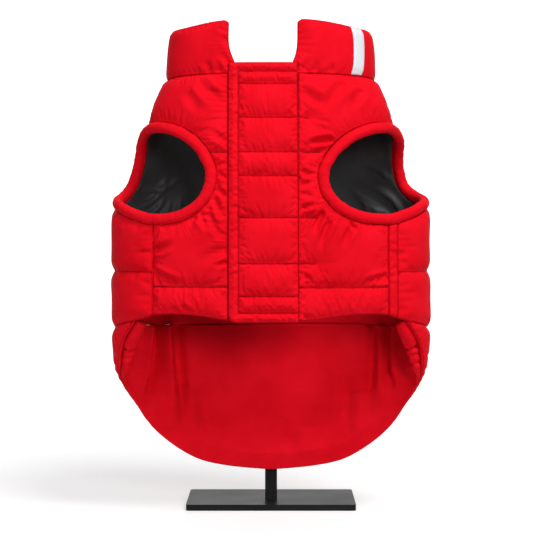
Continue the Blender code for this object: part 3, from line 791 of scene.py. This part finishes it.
def make_stitches(name, lines, offset=STITCH_LIFT):
    """Short rounded threads along lines of places, just proud of the seams."""
    points, faces = [], []
    for line in lines:
        row = spaced(line, STITCH_EVERY)
        middles = (row[:-1] + row[1:]) / 2
        centres = outside(middles, offset)
        ahead = unit(surface(row[1:]) - surface(row[:-1]))
        up = normals(middles)
        across = np.cross(ahead, up)
        for centre, a, u, c in zip(centres, ahead, up, across):
            first = len(points)
            for reach, share, lift in STITCH_RINGS:
                for k in range(6):
                    turn = k * pi / 3
                    points.append(centre + a * reach * STITCH + STITCH_RADIUS * (
                        share * (c * cos(turn) + u * sin(turn)) + u * lift))
            for i in range(3):
                for k in range(6):
                    m = (k + 1) % 6
                    faces.append((first + i * 6 + k, first + i * 6 + m,
                                  first + i * 6 + 6 + m, first + i * 6 + 6 + k))
            faces.append(tuple(first + k for k in reversed(range(6))))
            faces.append(tuple(first + 18 + k for k in range(6)))
    data = bpy.data.meshes.new(name)
    data.from_pydata([tuple(p) for p in points], [], faces)
    data.shade_smooth()
    # The threads are real; their dark colour is a painted shade of the stitch holes.
    add_piece(name, data, THREAD_PAINTED_SHADE)


# ---- materials ---------------------------------------------------------------------

def new_material(name, colour, roughness):
    material = bpy.data.materials.new(name)
    material.use_nodes = True
    shader = material.node_tree.nodes["Principled BSDF"]
    shader.inputs["Base Color"].default_value = (*colour, 1)
    shader.inputs["Roughness"].default_value = roughness
    return material, material.node_tree, shader


def set_inputs(tree, made, inputs):
    """Sets a node's inputs: a socket is linked, and anything else is the input's value."""
    for key, value in inputs.items():
        if isinstance(value, bpy.types.NodeSocket):
            tree.links.new(value, made.inputs[key])
        else:
            made.inputs[key].default_value = value


def node(tree, kind, inputs=(), **settings):
    made = tree.nodes.new(kind)
    for key, value in settings.items():
        setattr(made, key, value)
    set_inputs(tree, made, dict(inputs))
    return made


def cloth_place(tree):
    return node(tree, "ShaderNodeUVMap", uv_map="cloth").outputs["UV"]


def object_place(tree):
    return node(tree, "ShaderNodeTexCoord").outputs["Object"]


def camera_ray(tree):
    return node(tree, "ShaderNodeLightPath").outputs["Is Camera Ray"]


def noise_factor(tree, place, scale, **more):
    inputs = {"Vector": place, "Scale": scale, **more}
    return node(tree, "ShaderNodeTexNoise", inputs).outputs["Fac"]


def mapped(tree, value, low, high, start=0.0, end=1.0, kind="LINEAR"):
    """A value that runs from start to end, mapped to run from low to high."""
    inputs = {"Value": value, "From Min": start, "From Max": end, "To Min": low, "To Max": high}
    return node(tree, "ShaderNodeMapRange", inputs, interpolation_type=kind).outputs["Result"]


def bump(tree, height, distance, strength, more=(), **settings):
    inputs = {"Height": height, "Distance": distance, "Strength": strength, **dict(more)}
    return node(tree, "ShaderNodeBump", inputs, **settings).outputs["Normal"]


def ramp(tree, factor, stops):
    made = node(tree, "ShaderNodeValToRGB", {"Fac": factor})
    elements = made.color_ramp.elements
    while len(elements) < len(stops):
        elements.new(0.5)
    for element, (position, colour) in zip(elements, stops):
        element.position = position
        element.color = (*colour, 1)
    return made.outputs["Color"]


def weave_height(tree, period):
    """Height of a plain weave in the piece's own cloth coordinates."""
    inputs = {"Vector": cloth_place(tree), "Scale": 0.31416 / period}
    waves = [node(tree, "ShaderNodeTexWave", inputs, wave_type="BANDS",
                  bands_direction=direction).outputs["Fac"] for direction in ("X", "Y")]
    return node(tree, "ShaderNodeMath", {0: waves[0], 1: waves[1]},
                operation="MULTIPLY").outputs[0]


def cloth_material(name, colours, gloss, level, roughness, sheen, wrinkle_depth):
    """Woven nylon: its colour varies softly from deep to light, and at the seams it is mixed
    towards a painted shade, the shade of the seam troughs."""
    deep, plain, light, painted_seam_shade = colours
    material, tree, shader = new_material(name, plain, roughness)
    cloth = cloth_place(tree)
    soft = noise_factor(tree, cloth, 32.0, Detail=3.0, Roughness=0.55)
    body = ramp(tree, soft, ((0.32, deep), (0.5, plain), (0.7, light)))
    seam = node(tree, "ShaderNodeAttribute", attribute_name="seam").outputs["Fac"]
    # Painted shade: near the seams the colour is mixed towards a dark red, standing in for the
    # shade in the seam troughs.
    seam_shade_share = mapped(tree, seam, 0.75, 0.0, 0.0002, 0.0011, "SMOOTHSTEP")
    blend = node(tree, "ShaderNodeMix", {"Factor": seam_shade_share, 6: body, 7: (*painted_seam_shade, 1)},
                 data_type="RGBA").outputs[2]
    wrinkles = noise_factor(tree, cloth, 210.0, Detail=4.0, Roughness=0.6, Distortion=0.4)
    folds = bump(tree, wrinkles, wrinkle_depth, 0.5)
    weave = bump(tree, weave_height(tree, WEAVE), WEAVE_DEPTH, 0.6, {"Normal": folds})
    set_inputs(tree, shader, {
        "Base Color": blend, "Roughness": mapped(tree, soft, roughness - 0.06, roughness + 0.08),
        "Specular IOR Level": level, "Specular Tint": (*gloss, 1), "Sheen Weight": sheen,
        "Sheen Roughness": 0.45, "Sheen Tint": (*light, 1), "Normal": weave})
    return material


def metal_material():
    material, tree, shader = new_material("black_metal", (0.013, 0.013, 0.014), 0.34)
    place = object_place(tree)
    grain = noise_factor(tree, place, 900.0, Detail=3.0)
    cloud = noise_factor(tree, place, 26.0, Detail=3.0)
    tone = ramp(tree, cloud, ((0.3, (0.006, 0.006, 0.007)), (0.7, (0.010, 0.010, 0.011))))
    set_inputs(tree, shader, {
        "Base Color": tone, "Roughness": mapped(tree, cloud, 0.28, 0.42),
        "Specular IOR Level": 0.13, "Normal": bump(tree, grain, 0.00002, 0.5)})
    return material


def tape_material():
    material, tree, shader = new_material("pale_tape", (0.80, 0.82, 0.85), 0.38)
    beads = node(tree, "ShaderNodeTexVoronoi", {"Vector": cloth_place(tree), "Scale": 2600.0}
                 ).outputs["Distance"]
    tone = ramp(tree, beads, ((0.0, (0.86, 0.88, 0.91)), (0.8, (0.70, 0.72, 0.76))))
    set_inputs(tree, shader, {"Base Color": tone,
                              "Normal": bump(tree, beads, 0.00004, 0.5, invert=True)})
    return material


# The weave's period and depth.
WEAVE = 0.0006
WEAVE_DEPTH = 0.00003

# Each cloth's fourth colour is a painted shade, mixed in at its seams.
RED = cloth_material("red_nylon", ((0.71, 0.0042, 0.0122), (0.77, 0.0052, 0.0148),
                                   (0.83, 0.0066, 0.0180), (0.34, 0.0012, 0.0040)),
                     (1.0, 0.10, 0.14), 0.02, 0.50, 0.12, 0.00022)
BLACK = cloth_material("black_nylon", ((0.025, 0.025, 0.026), (0.032, 0.032, 0.033),
                                       (0.041, 0.041, 0.042), (0.012, 0.012, 0.013)),
                       (1.0, 1.0, 1.0), 0.25, 0.50, 0.04, 0.0002)
# Painted shade: the stitch thread is the cloth's own red, given a dark colour that stands in for
# the shade in the stitch holes.
THREAD_PAINTED_SHADE = new_material("red_thread_painted_shade", (0.22, 0.0010, 0.0034), 0.8)[0]
TAPE = tape_material()
METAL = metal_material()


# ---- the padded pieces -------------------------------------------------------------

# Creases and folds are written in tenths of a millimetre.

# Short puckers across the placket's border: height, rise across it, depth.
PLACKET_PUCKERS = (
    (3262, 6, 4), (3196, -8, 5), (2950, 4, 3), (2618, -10, 5), (2562, 8, 4), (2482, -12, 5),
    (2425, 10, 3), (2292, 9, 4), (2165, -9, 5), (2040, -12, 4), (2010, 4, 3), (1972, -10, 5),
    (1840, 8, 3), (3080, 10, 3), (2760, -6, 3),
)


def make_placket():
    inner_left = PLACKET_LEFT + PLACKET_BORDER
    lines = [line_straight((inner_left, height), (PLACKET_RIGHT_TOP + 0.001, height))
             for height in PLACKET_LINES]
    lines.append(line_straight((inner_left, PLACKET_LINES[-1]), (inner_left, PLACKET_LINES[0])))
    sheet, thickness = padded_sheet("placket", placket_outline(), lines, 11)
    creases = [(inner_left + 0.0005, height, PLACKET_LEFT + 0.0012, height + fall, 0.0012, depth)
               for height, fall, depth in metres(PLACKET_PUCKERS)]
    make_panel("placket", sheet, PLACKET_LIFT, thickness, (0.014, 0.0004, 1.0), pressure=10.0,
               creases=creases)
    right = line_straight((PLACKET_RIGHT_BOTTOM + 0.0002, PLACKET_BOTTOM + 0.001),
                          (PLACKET_RIGHT_TOP + 0.0002, PLACKET_TOP - 0.001))
    make_stitches("placket_stitches", lines + [right], PLACKET_LIFT + 0.0013)


# Main creases: x and z at the start, x and z at the end, width, depth.
FRONT_CREASES = {
    -1: (
        (-436, 2565, -340, 2375, 17, 11), (-485, 2445, -335, 2204, 20, 11),
        (-545, 2420, -446, 2280, 19, 9), (-580, 2420, -640, 2320, 18, 10),
        (-480, 2415, -562, 2412, 11, 6), (-920, 2148, -745, 2228, 20, 15),
        (-905, 1975, -640, 1880, 22, 13), (-905, 1915, -820, 1878, 15, 10),
        (-330, 2062, -440, 2020, 15, 11), (-330, 2170, -560, 2040, 30, 8),
        (-690, 1725, -620, 1670, 15, 8), (-755, 1705, -690, 1660, 15, 7),
        (-560, 3470, -330, 3255, 30, 7), (-480, 3400, -335, 3320, 20, 5),
        (-660, 3380, -500, 3200, 28, 5), (-345, 2990, -480, 3060, 20, 11),
        (-345, 2700, -410, 2760, 15, 10), (-345, 2560, -430, 2640, 15, 12),
        (-340, 2830, -420, 2790, 14, 9),
    ),
    1: (
        (480, 3008, 250, 2955, 18, 19), (410, 2450, 330, 2265, 16, 18),
        (455, 2375, 375, 2120, 18, 14), (635, 2345, 560, 2150, 20, 12),
        (620, 2370, 680, 2290, 14, 11), (240, 2480, 370, 2525, 14, 10),
        (232, 1985, 325, 1912, 15, 13), (232, 1940, 310, 1878, 14, 10),
        (232, 2040, 300, 1985, 13, 9), (915, 1950, 700, 1880, 16, 12),
        (915, 1920, 790, 1872, 14, 10), (245, 1665, 315, 1600, 15, 11),
        (235, 2765, 350, 2730, 15, 9), (235, 2660, 345, 2690, 14, 8),
        (235, 2590, 355, 2570, 14, 8), (240, 3390, 480, 3270, 30, 9),
        (560, 3450, 400, 3190, 30, 9), (720, 3400, 620, 3230, 26, 8),
    ),
}

BACK_CREASES = (
    (-945, 2135, -1060, 2120, 16, 12), (985, 2120, 1090, 2150, 16, 10),
    (985, 2290, 940, 2262, 12, 6), (985, 2215, 940, 2190, 12, 6), (985, 2150, 940, 2110, 13, 8),
    (985, 2085, 940, 2050, 12, 7), (985, 2020, 940, 1985, 13, 8), (985, 1955, 940, 1930, 12, 8),
    (985, 1890, 940, 1880, 11, 6), (985, 1760, 940, 1750, 11, 5),
)

COLLAR_CREASES = (
    (-470, 3545, -520, 3640, 22, 8), (-400, 3540, -430, 3650, 22, 9),
    (-330, 3600, -420, 3700, 20, 8), (-310, 3760, -400, 3800, 20, 7),
    (250, 3550, 310, 3660, 22, 9), (330, 3545, 360, 3640, 20, 8), (470, 3540, 490, 3620, 20, 6),
)


def make_front(side, word):
    """A front. Its strip under the placket is hidden and flat. On the +X side, where the
    placket is sewn on, the padding beside that strip rises to the placket's edge."""
    lines = [line_straight((start, height), (end, height))
             for line_side, height, start, end in FRONT_LINES if line_side == side]
    sheet, thickness = padded_sheet("front", front_outline(side), lines + [covered_line(side)],
                                    21 + side)
    beside = (sheet.points[:, 0] - placket_edge(side)) * side
    if side > 0:
        rise = PLACKET_RISE * np.exp(-((beside - PLACKET_MARGIN) / 0.004) ** 2)
        thickness = thickness + np.where(sheet.seam < 0.02, rise, 0)
    hidden = beside < COVERED[side][1]
    thickness[hidden] = COVERED[side][2]
    make_panel("front_" + word, sheet, 0.0, thickness, (0.016, 0.0005, 1.6),
               flatter=np.nonzero(hidden)[0].tolist(), creases=metres(FRONT_CREASES[side]))
    make_stitches("front_%s_stitches" % word, lines)


def make_back():
    side, behind = radians(SIDE_SEAM), radians(BACK_LINES_START)
    seams = [line_level(BACK_LINES[0], radians(SIDE_STITCH), 2 * pi - side)]
    seams += [line_level(height, behind, 2 * pi - behind) for height in BACK_LINES[1:]]
    seams.append([(radians(SIDE_STITCH), height) for height in SIDE_STITCH_HEIGHTS])
    sheet, thickness = padded_sheet("back", back_outline(), seams, 31)
    make_panel("back", sheet, 0.0, thickness, (0.018, 0.0006, 1.5),
               creases=metres(BACK_CREASES))
    make_stitches("back_stitches", seams)


# Folds of the tail's inner face: x and z of three places along a trough, width, depth, and
# the side on which its ridge lies.
TAIL_FOLDS = (
    (-935, 1590, -970, 1230, -1055, 830, 46, 85, -1),
    (-790, 1620, -765, 1170, -718, 630, 50, 100, -1),
    (-600, 1050, -560, 800, -540, 560, 70, 22, -1),
    (985, 1580, 975, 1230, 1020, 930, 46, 70, 1), (850, 1600, 835, 1150, 800, 760, 56, 60, 1),
    (640, 1000, 620, 750, 600, 540, 70, 36, 1), (180, 720, 160, 560, 130, 420, 70, 18, 1),
)


# The pillow's depth and the distance from the free edge at which it is full.
PILLOW_DEPTH = 0.0048
PILLOW_REACH = 0.014

# How much deeper the folds are than their table says, how many points a fold's line has,
# and the y in front of which the tail has no folds.
FOLD_DEPTH = 1.25
FOLD_POINTS = 60
FOLDS_BEHIND = -0.07


def tail_inner(sheet, thickness):
    """The inner face, which shows below the belly: a soft pillow with long folds."""
    inwards = -normals(sheet.places)
    free = distances(sheet.points, surface(spaced(tail_edge_line(), 0.001)))
    edge = np.clip(free / PILLOW_REACH, 0, 1)
    depth = PILLOW_DEPTH * np.sqrt(1 - (1 - edge) ** 2)
    last = FOLD_POINTS - 1
    for *row, ridge in TAIL_FOLDS:
        x0, z0, x1, z1, x2, z2, width, deep = metres(row)
        path = smooth([(0, x0, z0), (1, x1, z1), (2, x2, z2)], np.linspace(0, 2, FOLD_POINTS))
        tree = tree_of(np.column_stack([path, np.zeros(FOLD_POINTS)]))
        for i, (x, y, z) in enumerate(sheet.points):
            if y < FOLDS_BEHIND:
                continue
            spot, number, away = tree.find((x, z, 0))
            if away > width * 5:
                continue
            side = ridge * (1 if x > spot.x else -1) * away / width
            share = number / last
            taper = min(1.0, share / 0.12 + 0.5) * min(1.0, (1 - share) / 0.4) ** 1.5
            if number in (0, last):
                taper *= float(np.exp(-(away / width) ** 2))
            profile = 0.75 * np.exp(-((side - 1.7) / 1.25) ** 2) - np.exp(-(side / 0.9) ** 2)
            depth[i] += FOLD_DEPTH * deep * taper * profile
    depth += 0.0009 * soft_noise(sheet.places, 0.03, 2.0, 9.0) * edge
    depth = np.maximum(depth * edge, -(thickness - 0.0008))
    return surface(sheet.places) + inwards * depth[:, None]


def make_tail():
    seams = [line_level(height, radians(start), radians(360 - start))
             for height, start in TAIL_LINES]
    sheet, thickness = padded_sheet("tail", tail_outline(), seams, 41)
    make_panel("tail", sheet, 0.0, thickness, (0.018, 0.0006, 1.5),
               inner=tail_inner(sheet, thickness), slack=0.07)
    make_stitches("tail_stitches", seams)


def make_collar():
    sheet, thickness = padded_sheet("collar", collar_outline(), [], 51)
    angle, height = sheet.places[:, 0], sheet.places[:, 1]
    x = sheet.points[:, 0]
    hidden = ((np.cos(angle) > 0) & (height < PLACKET_TOP + PLACKET_MARGIN)
              & (x > PLACKET_LEFT - PLACKET_MARGIN) & (x < PLACKET_RIGHT_TOP + PLACKET_MARGIN))
    thickness[hidden] = PLACKET_FLAT
    return make_panel("collar", sheet, 0.0, thickness, (0.022, 0.0004, 1.2), slack=0.04,
                      flatter=np.nonzero(hidden)[0].tolist(), creases=metres(COLLAR_CREASES))


def make_stripe(collar):
    """The pale tape, laid on the collar's own outer face."""
    tree = BVHTree.FromPolygons([v.co for v in collar.data.vertices],
                                [p.vertices[:] for p in collar.data.polygons])
    columns, rows = 9, 44
    foot, top = NECK_LINE[0][1], COLLAR_TOP[0][1]
    share, x = [line.ravel() for line in np.meshgrid(
        np.linspace(0, 1, rows + 1), np.linspace(STRIPE_LEFT, STRIPE_RIGHT, columns + 1),
        indexing="ij")]
    x = x + STRIPE_BOW * np.sin(pi * share) + STRIPE_LEAN * (1 - share)
    angle = angles_at(x, foot + (top - foot) * share)
    low = line_height(NECK_LINE, angle) + STRIPE_FOOT_GAP
    high = line_height(COLLAR_TOP, angle) - STRIPE_TOP_GAP
    height = low + (high - low) * share
    grid = np.stack([angles_at(x, height), height], 1)
    starts, ways = outside(grid, 0.0012), normals(grid)
    points = []
    for start, way in zip(starts, ways):
        hit = tree.ray_cast(Vector(start), Vector(way), 0.02)[0]
        points.append(np.array(hit) if hit else start + way * 0.002)
    points = np.array(points)
    width = columns + 1
    edge = np.array([min(i, rows - i, j, columns - j) for i in range(rows + 1)
                     for j in range(width)])
    lowest, rim, full = STRIPE_LIFTS
    outer = points + ways * np.where(edge == 0, rim, full)[:, None]
    inner = points + ways * lowest
    faces = [(i * width + j, i * width + j + 1, (i + 1) * width + j + 1, (i + 1) * width + j)
             for i in range(rows) for j in range(columns)]
    count = len(grid)
    edges = {(f[k], f[(k + 1) % 4]) for f in faces for k in range(4)}
    walls = [(b, a, a + count, b + count) for a, b in edges if (b, a) not in edges]
    flat = np.concatenate([flattened(grid)] * 2)
    data = mesh_of("collar_stripe", np.concatenate([outer, inner]),
                   faces + [tuple(i + count for i in reversed(f)) for f in faces] + walls,
                   np.column_stack([flat, np.full(2 * count, 1.0)]))
    add_piece("collar_stripe", data, TAPE, ("collar_stripe",))


# Where a binding is pinched by a seam: degrees, and whether it is above the armhole.
BINDING_JOINS = {-1: ((SIDE_SEAM, False), (SHOULDER_SEAM, True))}
BINDING_JOINS[1] = BINDING_JOINS[-1] + ((51.0, False),)


def make_bindings():
    steps = 26
    turn = np.arange(steps) * 2 * pi / steps
    for side, word in ((-1, "left"), (1, "right")):
        loop = np.array(round_loop(armhole_places(side), 10))
        into_hole = inset(spaced(loop, BINDING_STEP, closed=True), BINDING_RADIUS + SEAM_GAP)
        into_hole[:, 0] *= side
        centres = outside(into_hole, BINDING_OFFSET)
        ahead = unit(np.roll(centres, -1, 0) - np.roll(centres, 1, 0))
        out = normals(into_hole)
        across = unit(np.cross(ahead, out))
        count = len(centres)
        reach = np.arange(count) * BINDING_STEP
        radii = np.full((count, steps), BINDING_RADIUS * BINDING_SLIM)
        total = count * BINDING_STEP
        for i in range(count):
            swing = reach[i] / total * 2 * pi
            for k in range(steps):
                spot = Vector((cos(swing) * 9.5 + side * 3, sin(swing) * 9.5,
                               turn[k] * 0.35 + 2.0))
                fine = Vector((cos(swing) * 26, sin(swing) * 26, cos(turn[k]) * 0.8))
                crease = abs(noise.noise(fine))
                radii[i, k] += (noise.noise(spot) * BINDING_UNEVEN
                                - max(0.0, 0.22 - crease) * 0.0016)
        for angle, above in BINDING_JOINS[side]:
            gap = np.abs(np.abs(np.degrees(into_hole[:, 0])) - angle) + 1000 * (
                (into_hole[:, 1] > ARMHOLE_MIDDLE) != above)
            radii[int(np.argmin(gap))] -= BINDING_PINCH
        hole = np.einsum("ij,ij->i", across, centres.mean(axis=0) - centres).mean()
        sewn = np.clip(-np.sign(hole) * np.sin(turn), 0, 1) ** 2
        radii += BINDING_SEAM * sewn[None, :]
        make_swept("armhole_binding_" + word, centres, (out, across), radii, True)


# A roll's radius along the tail's edge, as shares of ROLL_RADIUS, and the creases round it:
# height, depth.
ROLL_SHARES = (1.15, 1.35, 1.38, 1.15, 0.78, 0.42, 0.18)
ROLL_CREASES = ((0.1372, 0.0022), (0.1318, 0.0009), (0.1245, 0.0014))


def make_rolls():
    steps = 24
    turn = np.arange(steps) * 2 * pi / steps
    rows = [(key, radians(angle), height, share)
            for key, ((angle, height), share) in enumerate(zip(TAIL_EDGE, ROLL_SHARES))]
    for side, word in ((-1, "left"), (1, "right")):
        path = smooth(rows, np.linspace(0, len(rows) - 1, 73))
        share = path[:, 2]
        places = path[:, :2].copy()
        places[:, 0] -= ROLL_OVERHANG * share / scale_at(places)
        places[:, 1] -= ROLL_OVERHANG * np.clip(2 * share - 0.4, 0, 1)
        places[:, 0] *= side
        out = normals(places)
        centres = outside(places, 0.0) - out * (ROLL_RADIUS * share + SEAM_GAP)[:, None]
        across = np.cross(unit(np.gradient(centres, axis=0)), out)
        radii = np.repeat((ROLL_RADIUS * share)[:, None], steps, 1)
        for i, z in enumerate(centres[:, 2]):
            for k in range(steps):
                crease = abs(noise.noise(Vector((i * 0.16, cos(turn[k]) * 0.7, side * 2.0))))
                radii[i, k] -= max(0.0, 0.2 - crease) * 0.0022
                for level, depth in ROLL_CREASES:
                    level += 0.0016 * sin(turn[k] + side)
                    radii[i, k] -= depth * share[i] * exp(-((z - level) / 0.0013) ** 2)
        make_swept("tail_roll_" + word, centres, (out, across), radii, False)


def make_lining(name, outline, spacing, creases=()):
    """Black lining: a thin shell just inside a panel, with listed soft ridges."""
    angle, height = np.array(outline).T
    height = np.maximum(height, line_height(HEM_LINE, angle) + 0.004)
    sheet = Sheet(np.stack([angle, height], 1), [], spacing, 61, gap=0.0)
    outer = outside(sheet.places, -LINING_GAP)
    inwards = -normals(sheet.places)
    free = np.clip(sheet.seam / LINING_FREE_REACH, 0, 1)
    depth = np.zeros(len(sheet.points))
    for *ends, width, deep in creases:
        along, aside = beside_crease(sheet.points, *ends, 0.16)
        taper = np.clip(along / 0.3, 0, 1) * np.clip((1 - along) / 0.5, 0, 1)
        depth += deep * taper * taper * (3 - 2 * taper) * np.exp(-(aside / width) ** 2) * (
            inwards[:, 1] < 0.2)
    soft = soft_noise(sheet.places, 0.03, 5 / 3, 4.0)
    depth += 0.0006 * np.clip(soft + 0.3, 0, 1.3)
    shift = inwards * (depth * free)[:, None]
    inner = outside(sheet.places, -LINING_GAP - LINING_THICKNESS * 0.7) + shift
    data = closed_mesh(name, sheet, outer + shift, inner, finer=False)
    item = add_piece(name, data, BLACK, (name,))


def make_facing(name, rows, start, end, below, above, material, start_depth, depth):
    """A band that lies inside along a seam, such as a turned hem or a neck tape. It reaches
    from below the seam to above it, between two depths inside the body surface."""
    line = line_round(rows, start, end)
    outline = [(a, h - below) for a, h in line] + [(a, h + above) for a, h in line[::-1]]
    sheet = Sheet(outline, [], 0.0026, 71)
    outer = outside(sheet.places, -start_depth)
    inner = outside(sheet.places, -depth)
    data = closed_mesh(name, sheet, outer, inner, finer=False)
    item = add_piece(name, data, material)


LINING_CREASES = (
    (1170, 2430, 720, 2860, 26, 44), (1120, 2380, 740, 2680, 24, 40),
    (1040, 2320, 720, 2520, 22, 36), (940, 2300, 700, 2580, 24, 40),
    (840, 2280, 620, 2660, 28, 36), (1120, 2620, 880, 3000, 30, 40),
    (1040, 2800, 820, 3120, 26, 26), (-1180, 2460, -840, 2800, 24, 40),
    (-1120, 2380, -860, 2680, 22, 38), (-1040, 2330, -820, 2580, 22, 36),
    (-940, 2300, -740, 2620, 26, 36), (-1080, 2660, -720, 2760, 22, 30),
    (300, 1700, 100, 2300, 60, 30), (-400, 1800, -200, 2400, 60, 30),
)


def make_linings():
    for side, word in ((-1, "left"), (1, "right")):
        make_lining("lining_front_" + word, front_outline(side), 0.0028)
    make_lining("lining_back", back_outline(), 0.0022,
                metres(LINING_CREASES))


# ---- the scene ---------------------------------------------------------------------

def make_stand():
    for name, width in (("base_plate", 0.0005), ("post", 0.0006), ("hanger", 0.0)):
        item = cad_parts[name]
        item.data.materials.clear()
        item.data.materials.append(METAL)
        if width:
            rounding = item.modifiers.new("rounding", "BEVEL")
            rounding.width = width
            rounding.segments = 3
            rounding.limit_method = "ANGLE"
            rounding.angle_limit = radians(40)
            rounding.harden_normals = True


def add_stage(name, corners, material, height=0.0):
    data = bpy.data.meshes.new(name)
    data.from_pydata(corners, [], [(0, 1, 2, 3)])
    data.materials.append(material)
    item = add_object(name, data)
    item.location.z = height


def make_floor():
    """A white floor, which glows more towards its far end."""
    material, tree, shader = new_material("floor", (0.62, 0.62, 0.62), 0.7)
    place = object_place(tree)
    tone = ramp(tree, noise_factor(tree, place, 4.0),
                ((0.3, (0.61, 0.61, 0.61)), (0.7, (0.63, 0.63, 0.63))))
    far = node(tree, "ShaderNodeVectorMath", {0: place}, operation="LENGTH").outputs["Value"]
    glow = mapped(tree, far, 0.48, 0.90, 0.15, 1.2, "SMOOTHSTEP")
    share = mapped(tree, camera_ray(tree), 0.15, 1.0)
    both = node(tree, "ShaderNodeMath", {0: glow, 1: share}, operation="MULTIPLY").outputs[0]
    set_inputs(tree, shader, {"Base Color": tone, "Emission Color": (1, 1, 1, 1),
                              "Emission Strength": both})
    corners = [(-30, -0.27, 0), (30, -0.27, 0), (30, 30, 0), (-30, 30, 0)]
    add_stage("floor", corners, material, -0.0002)


def make_backdrop():
    """A white studio wall far behind, which the stand's metal reflects."""
    material, tree, shader = new_material("backdrop", (0.9, 0.9, 0.9), 0.8)
    tone = ramp(tree, noise_factor(tree, object_place(tree), 2.0),
                ((0.3, (0.99, 0.99, 0.99)), (0.7, (1.0, 1.0, 1.0))))
    set_inputs(tree, shader, {"Emission Color": tone,
                              "Emission Strength": mapped(tree, camera_ray(tree), 0.45, 1.0)})
    add_stage("backdrop", [(-5, 4, 0), (5, 4, 0), (5, 4, 4), (-5, 4, 4)], material)


def add_area(name, place, target, size, power):
    data = bpy.data.lights.new(name, "AREA")
    data.energy = power
    data.size = size
    item = add_object(name, data)
    item.location = place
    item.rotation_euler = (Vector(target) - Vector(place)).to_track_quat("-Z", "Y").to_euler()


def make_lights():
    world = bpy.data.worlds.new("studio")
    bpy.context.scene.world = world
    world.use_nodes = True
    tree = world.node_tree
    ground = tree.nodes["Background"]
    ground.inputs["Color"].default_value = (1, 1, 1, 1)
    ground.inputs["Strength"].default_value = 0.13
    seen = node(tree, "ShaderNodeBackground", {"Color": (1, 1, 1, 1), "Strength": 1.0})
    mixed = node(tree, "ShaderNodeMixShader", {0: camera_ray(tree), 1: ground.outputs[0],
                                               2: seen.outputs[0]})
    tree.links.new(mixed.outputs[0], tree.nodes["World Output"].inputs["Surface"])
    middle = (0.0, -0.075, 0.22)
    add_area("key", (0.75, -1.35, 1.95), middle, 0.7, 36.0)
    add_area("front", (0.55, -2.20, 0.74), middle, 0.55, 20.5)
    add_area("fill", (-1.7, -1.3, 0.9), middle, 0.7, 9.0)
    add_area("top", (-0.2, 0.3, 2.0), middle, 1.2, 6.0)


def make_camera():
    data = bpy.data.cameras.new("camera")
    data.lens = 119.9
    data.sensor_width = 36.0
    item = add_object("camera", data)
    item.location = (0.0033, -1.5445, 0.234)
    item.rotation_euler = (pi / 2 - atan(49 / 1832), 0, 0)
    bpy.context.scene.camera = item
    bpy.context.scene.view_settings.view_transform = "Standard"


make_placket()
make_front(-1, "left")
make_front(1, "right")
make_back()
make_tail()
make_stripe(make_collar())
make_bindings()
make_rolls()
make_linings()
make_facing("hem_facing", HEM_LINE, radians(61), radians(299), -0.0003, 0.016, RED,
            0.0020, 0.0040)
make_facing("neck_tape", NECK_LINE, radians(8.5), radians(344), 0.005, 0.005, BLACK,
            0.0002, 0.0007)
make_stand()
make_floor()
make_backdrop()
make_lights()
make_camera()
